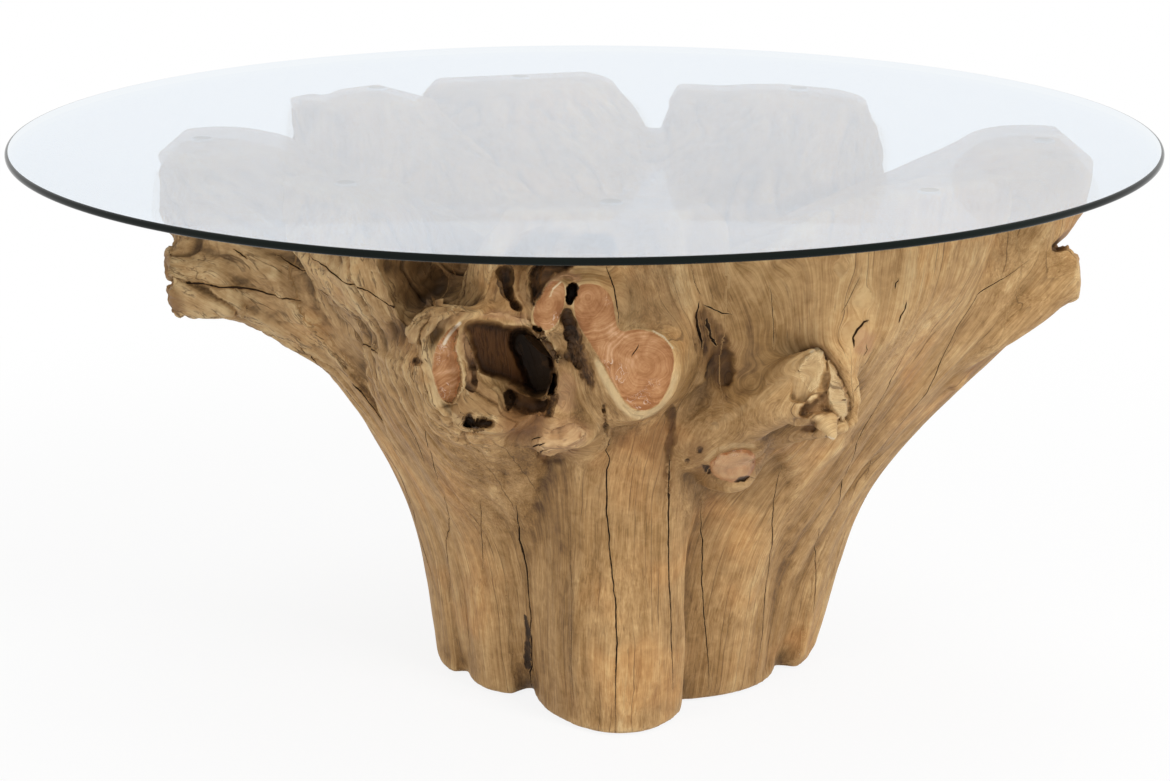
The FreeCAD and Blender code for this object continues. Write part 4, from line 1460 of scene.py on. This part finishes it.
raw = cadCopy(woodNodes)
core = filledCore(raw)
trunk = remeshed(joined(raw, core), stump["roughVoxel"])
movedTo(trunk, hewn(places(trunk)))
skin = remeshed(joined(trunk, chainSolids(chainsOf(growths), chainsOf(slabs))), stump["roughVoxel"])
print("rough skin:", len(skin.vertices), "vertices")
ends = edgeEnds(skin)
co = places(skin)
for _ in range(stump["blendSteps"]):
    way = outward(skin)
    pull = ((neighbourMean(co, ends) - co) * way).sum(1)
    co += way * np.maximum(pull, 0)[:, None]
    movedTo(skin, co)
soothed(skin)
movedTo(skin, sawKidney(places(skin), outward(skin)))
woodHollows = hollowChains(treeOf(skin))
hollowSolid = chainSolids([chain for dark, chain in woodHollows], chainsOf(splits))
hollowSolid = remeshed(hollowSolid, stump["hollowVoxel"])
skin = cutBy(skin, roughened(hollowSolid, *stump["splitNoise"]), "DIFFERENCE")
skin = remeshed(skin, stump["fineVoxel"])
print("skin:", len(skin.vertices), "vertices,", len(skin.polygons), "faces")
movedTo(skin, relaxed(places(skin), edgeEnds(skin), 2, 0.5))
refined(skin)
movedTo(skin, faceted(places(skin), outward(skin)))
paintMarks(skin, tracedFibres(), woodHollows)
print("skin: furrows, knots and stains made")
teakFinish = makeTeak()
sawApart(skin, [teakFinish, makeCrackWood(), teakFinish])


# the loose glass top, a spun disc with a rounded edge
glassTop = {
    "steps": 256,
    "edgeRound": 0.0044,
    "edgeSegments": 5,
    "veil": 0.60,               # how much each face mirrors when seen along it
    "veilFloor": 0.03,
    "mirrorTint": (0.91, 0.935, 0.98, 1),
    "clearTint": (0.93, 0.955, 0.96, 1),
    # the edge's near-black is painted shade: it stands in for the dark that the real edge reflects; the
    # green is the glass's tint
    "rimDark": (0.001, 0.002, 0.0015, 1),
    "rimGreen": (0.003, 0.007, 0.005, 1),
}


def makeGlassFaces():
    made, tree = newMaterial("clear_glass")
    facing = node(tree, "ShaderNodeLayerWeight", None, {"Blend": 0.5}, 1)
    clear = node(tree, "ShaderNodeBsdfTransparent", None, {"Color": glassTop["clearTint"]})
    mirror = node(tree, "ShaderNodeBsdfGlossy", None, {"Color": glassTop["mirrorTint"], "Roughness": 0.03})
    share = facing * glassTop["veil"] + glassTop["veilFloor"]
    finishMaterial(tree, node(tree, "ShaderNodeMixShader", None, {0: share, 1: clear, 2: mirror}))
    return made


def makeGlassEdge():
    made, tree = newMaterial("glass_edge")
    # painted shade: the edge is painted near-black
    colour = blend(tree, noise(tree, objectSpot(tree), 3, 2, 0.5), glassTop["rimDark"], glassTop["rimGreen"])
    body = principled(tree, {"Base Color": colour, "Roughness": 0.06, "Specular IOR Level": 0.12})
    inside = Wire(tree.nodes.new("ShaderNodeNewGeometry").outputs["Backfacing"])
    clear = node(tree, "ShaderNodeBsdfTransparent", None, {"Color": glassTop["clearTint"]})
    finishMaterial(tree, node(tree, "ShaderNodeMixShader", None, {0: inside, 1: body, 2: clear}))
    return made


def makeGlass():
    low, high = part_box("glass_top")
    radius = (high.x - low.x) / 2
    middle = (low + high) / 2
    bm = bmesh.new()
    outline = [(0, low.z), (radius, low.z), (radius, high.z), (0, high.z)]
    verts = [bm.verts.new((middle.x + reach, middle.y, height)) for reach, height in outline]
    lines = [bm.edges.new(pair) for pair in zip(verts, verts[1:])]
    bmesh.ops.spin(bm, geom=verts + lines, cent=middle, axis=(0, 0, 1), angle=2 * math.pi,
                   steps=glassTop["steps"], use_merge=True)
    bmesh.ops.remove_doubles(bm, verts=bm.verts, dist=0.0001)
    bmesh.ops.recalc_face_normals(bm, faces=bm.faces)

    def reach(item):
        return math.hypot(item.co.x - middle.x, item.co.y - middle.y)

    rim = [edge for edge in bm.edges if min(map(reach, edge.verts)) > radius * 0.999
           and abs(edge.verts[0].co.z - edge.verts[1].co.z) < 0.0001]
    bmesh.ops.bevel(bm, geom=rim, offset=glassTop["edgeRound"], affect="EDGES",
                    segments=glassTop["edgeSegments"], profile=0.5, material=-1)
    for face in bm.faces:
        face.material_index = int(max(map(reach, face.verts)) > radius - glassTop["edgeRound"] * 0.99)
    mesh = meshFrom(bm, "glass_disc")
    mesh.materials.append(makeGlassFaces())
    mesh.materials.append(makeGlassEdge())
    shaded(mesh, math.radians(35))
    piece = newPiece("glass_disc", mesh, "glass")
    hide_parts("glass_top")
    print("glass:", len(mesh.polygons), "faces")


makeGlass()


# pads, felt and dowels keep their solids and get their finishes
def makeBumper():
    made, tree = newMaterial("clear_bumper")
    facing = node(tree, "ShaderNodeLayerWeight", None, {"Blend": 0.3}, 1)
    clear = node(tree, "ShaderNodeBsdfTransparent", None, {"Color": (0.90, 0.91, 0.91, 1)})
    gloss = principled(tree, {"Base Color": (0.80, 0.81, 0.82, 1), "Roughness": 0.25})
    share = facing * 0.4 + noise(tree, objectSpot(tree), 160, 3, 0.5) * 0.12
    finishMaterial(tree, node(tree, "ShaderNodeMixShader", None, {0: share, 1: clear, 2: gloss}))
    return made


def dressNodes():
    felt = srgb(70, 58, 46), srgb(120, 102, 84)
    beech = srgb(196, 158, 112), srgb(222, 190, 148)
    finishes = {
        "glass_pad_": makeBumper(),
        "floor_pad_": plainMaterial("brown_felt", (900, 5, 0.7, 0.6), felt, 0.95, (0.6, 0.001)),
        "_dowels": plainMaterial("beech_dowel", (240, 4, 0.6, 0.4), beech, 0.6, (0.3, 0.0006)),
    }
    for name, item in nodes.items():
        for part, finish in finishes.items():
            if part in name:
                item.data.materials.clear()
                item.data.materials.append(finish)


dressNodes()
print("small parts: pads, felt and dowels finished")


def makeCamera():
    lens = bpy.data.cameras.new("camera")
    lens.sensor_fit = "HORIZONTAL"
    lens.sensor_width = 36
    lens.lens = lens.sensor_width * cameraSet["focalPixels"] / cameraSet["imageWidth"]
    made = placed("camera", lens)
    made.location = cameraSet["place"]
    made.rotation_euler = (math.radians(90 - cameraSet["pitch"]), 0, 0)
    bpy.context.scene.camera = made


makeCamera()

bpy.context.scene.view_settings.view_transform = "Standard"

# pale floor, white surround and soft lamps
studio = {
    "floorSize": 40,
    "floorColour": (0.86, 0.86, 0.86, 1),
    "floorWhite": (0.87, 1.0),  # how white it looks beside the table and far from it
    "floorNear": (0.9, 2.2),
    "fillLight": 0.46,
    "lamps": [    # place, aim, size, power
        ((2.6, -3.0, 3.0), (0, 0, 0.4), 1.6, 122),
        ((-2.8, -3.3, 2.0), (0, 0, 0.45), 2.2, 55),
        ((0.2, 1.6, 3.4), (0, 0, 0.5), 2.6, 55),
    ],
}


def seenDirectly(tree):
    ray = tree.nodes.new("ShaderNodeLightPath")
    kinds = [Wire(ray.outputs[name]) for name in ("Is Camera Ray", "Is Glossy Ray", "Is Transmission Ray")]
    return kinds[0].math("MAXIMUM", kinds[1]).math("MAXIMUM", kinds[2])


def makeFloor():
    bm = bmesh.new()
    bmesh.ops.create_grid(bm, x_segments=1, y_segments=1, size=studio["floorSize"] / 2)
    floor = placed("floor", meshFrom(bm, "floor"))
    made, tree = newMaterial("pale_floor")
    matt = node(tree, "ShaderNodeBsdfDiffuse", None, {"Color": studio["floorColour"]})
    white = node(tree, "ShaderNodeEmission", None, {"Color": (1, 1, 1, 1), "Strength": 1.0})
    apart = node(tree, "ShaderNodeVectorMath", {"operation": "LENGTH"}, {0: objectSpot(tree)}, 1)
    nearWhite, farWhite = studio["floorWhite"]
    share = seenDirectly(tree) * (nearWhite + apart.smooth(*studio["floorNear"]) * (farWhite - nearWhite))
    finishMaterial(tree, node(tree, "ShaderNodeMixShader", None, {0: share, 1: matt, 2: white}))
    floor.data.materials.append(made)


def makeSurround():
    world = bpy.data.worlds.new("surround")
    bpy.context.scene.world = world
    world.use_nodes = True
    tree = world.node_tree
    tree.nodes.clear()
    strength = studio["fillLight"] + seenDirectly(tree) * (1 - studio["fillLight"])
    light = node(tree, "ShaderNodeBackground", None, {"Color": (1, 1, 1, 1), "Strength": strength})
    out = tree.nodes.new("ShaderNodeOutputWorld")
    tree.links.new(light.socket, out.inputs["Surface"])


def makeLamps():
    for count, (place, aim, size, power) in enumerate(studio["lamps"]):
        lamp = bpy.data.lights.new("softbox_%d" % count, "AREA")
        lamp.shape = "DISK"
        lamp.size = size
        lamp.energy = power
        made = placed(lamp.name, lamp)
        made.location = place
        made.rotation_euler = (Vector(aim) - Vector(place)).to_track_quat("-Z", "Y").to_euler()
        made.visible_glossy = False    # no white discs in the glass


makeFloor()
makeSurround()
makeLamps()
print("studio: camera, floor and", len(studio["lamps"]), "lamps")
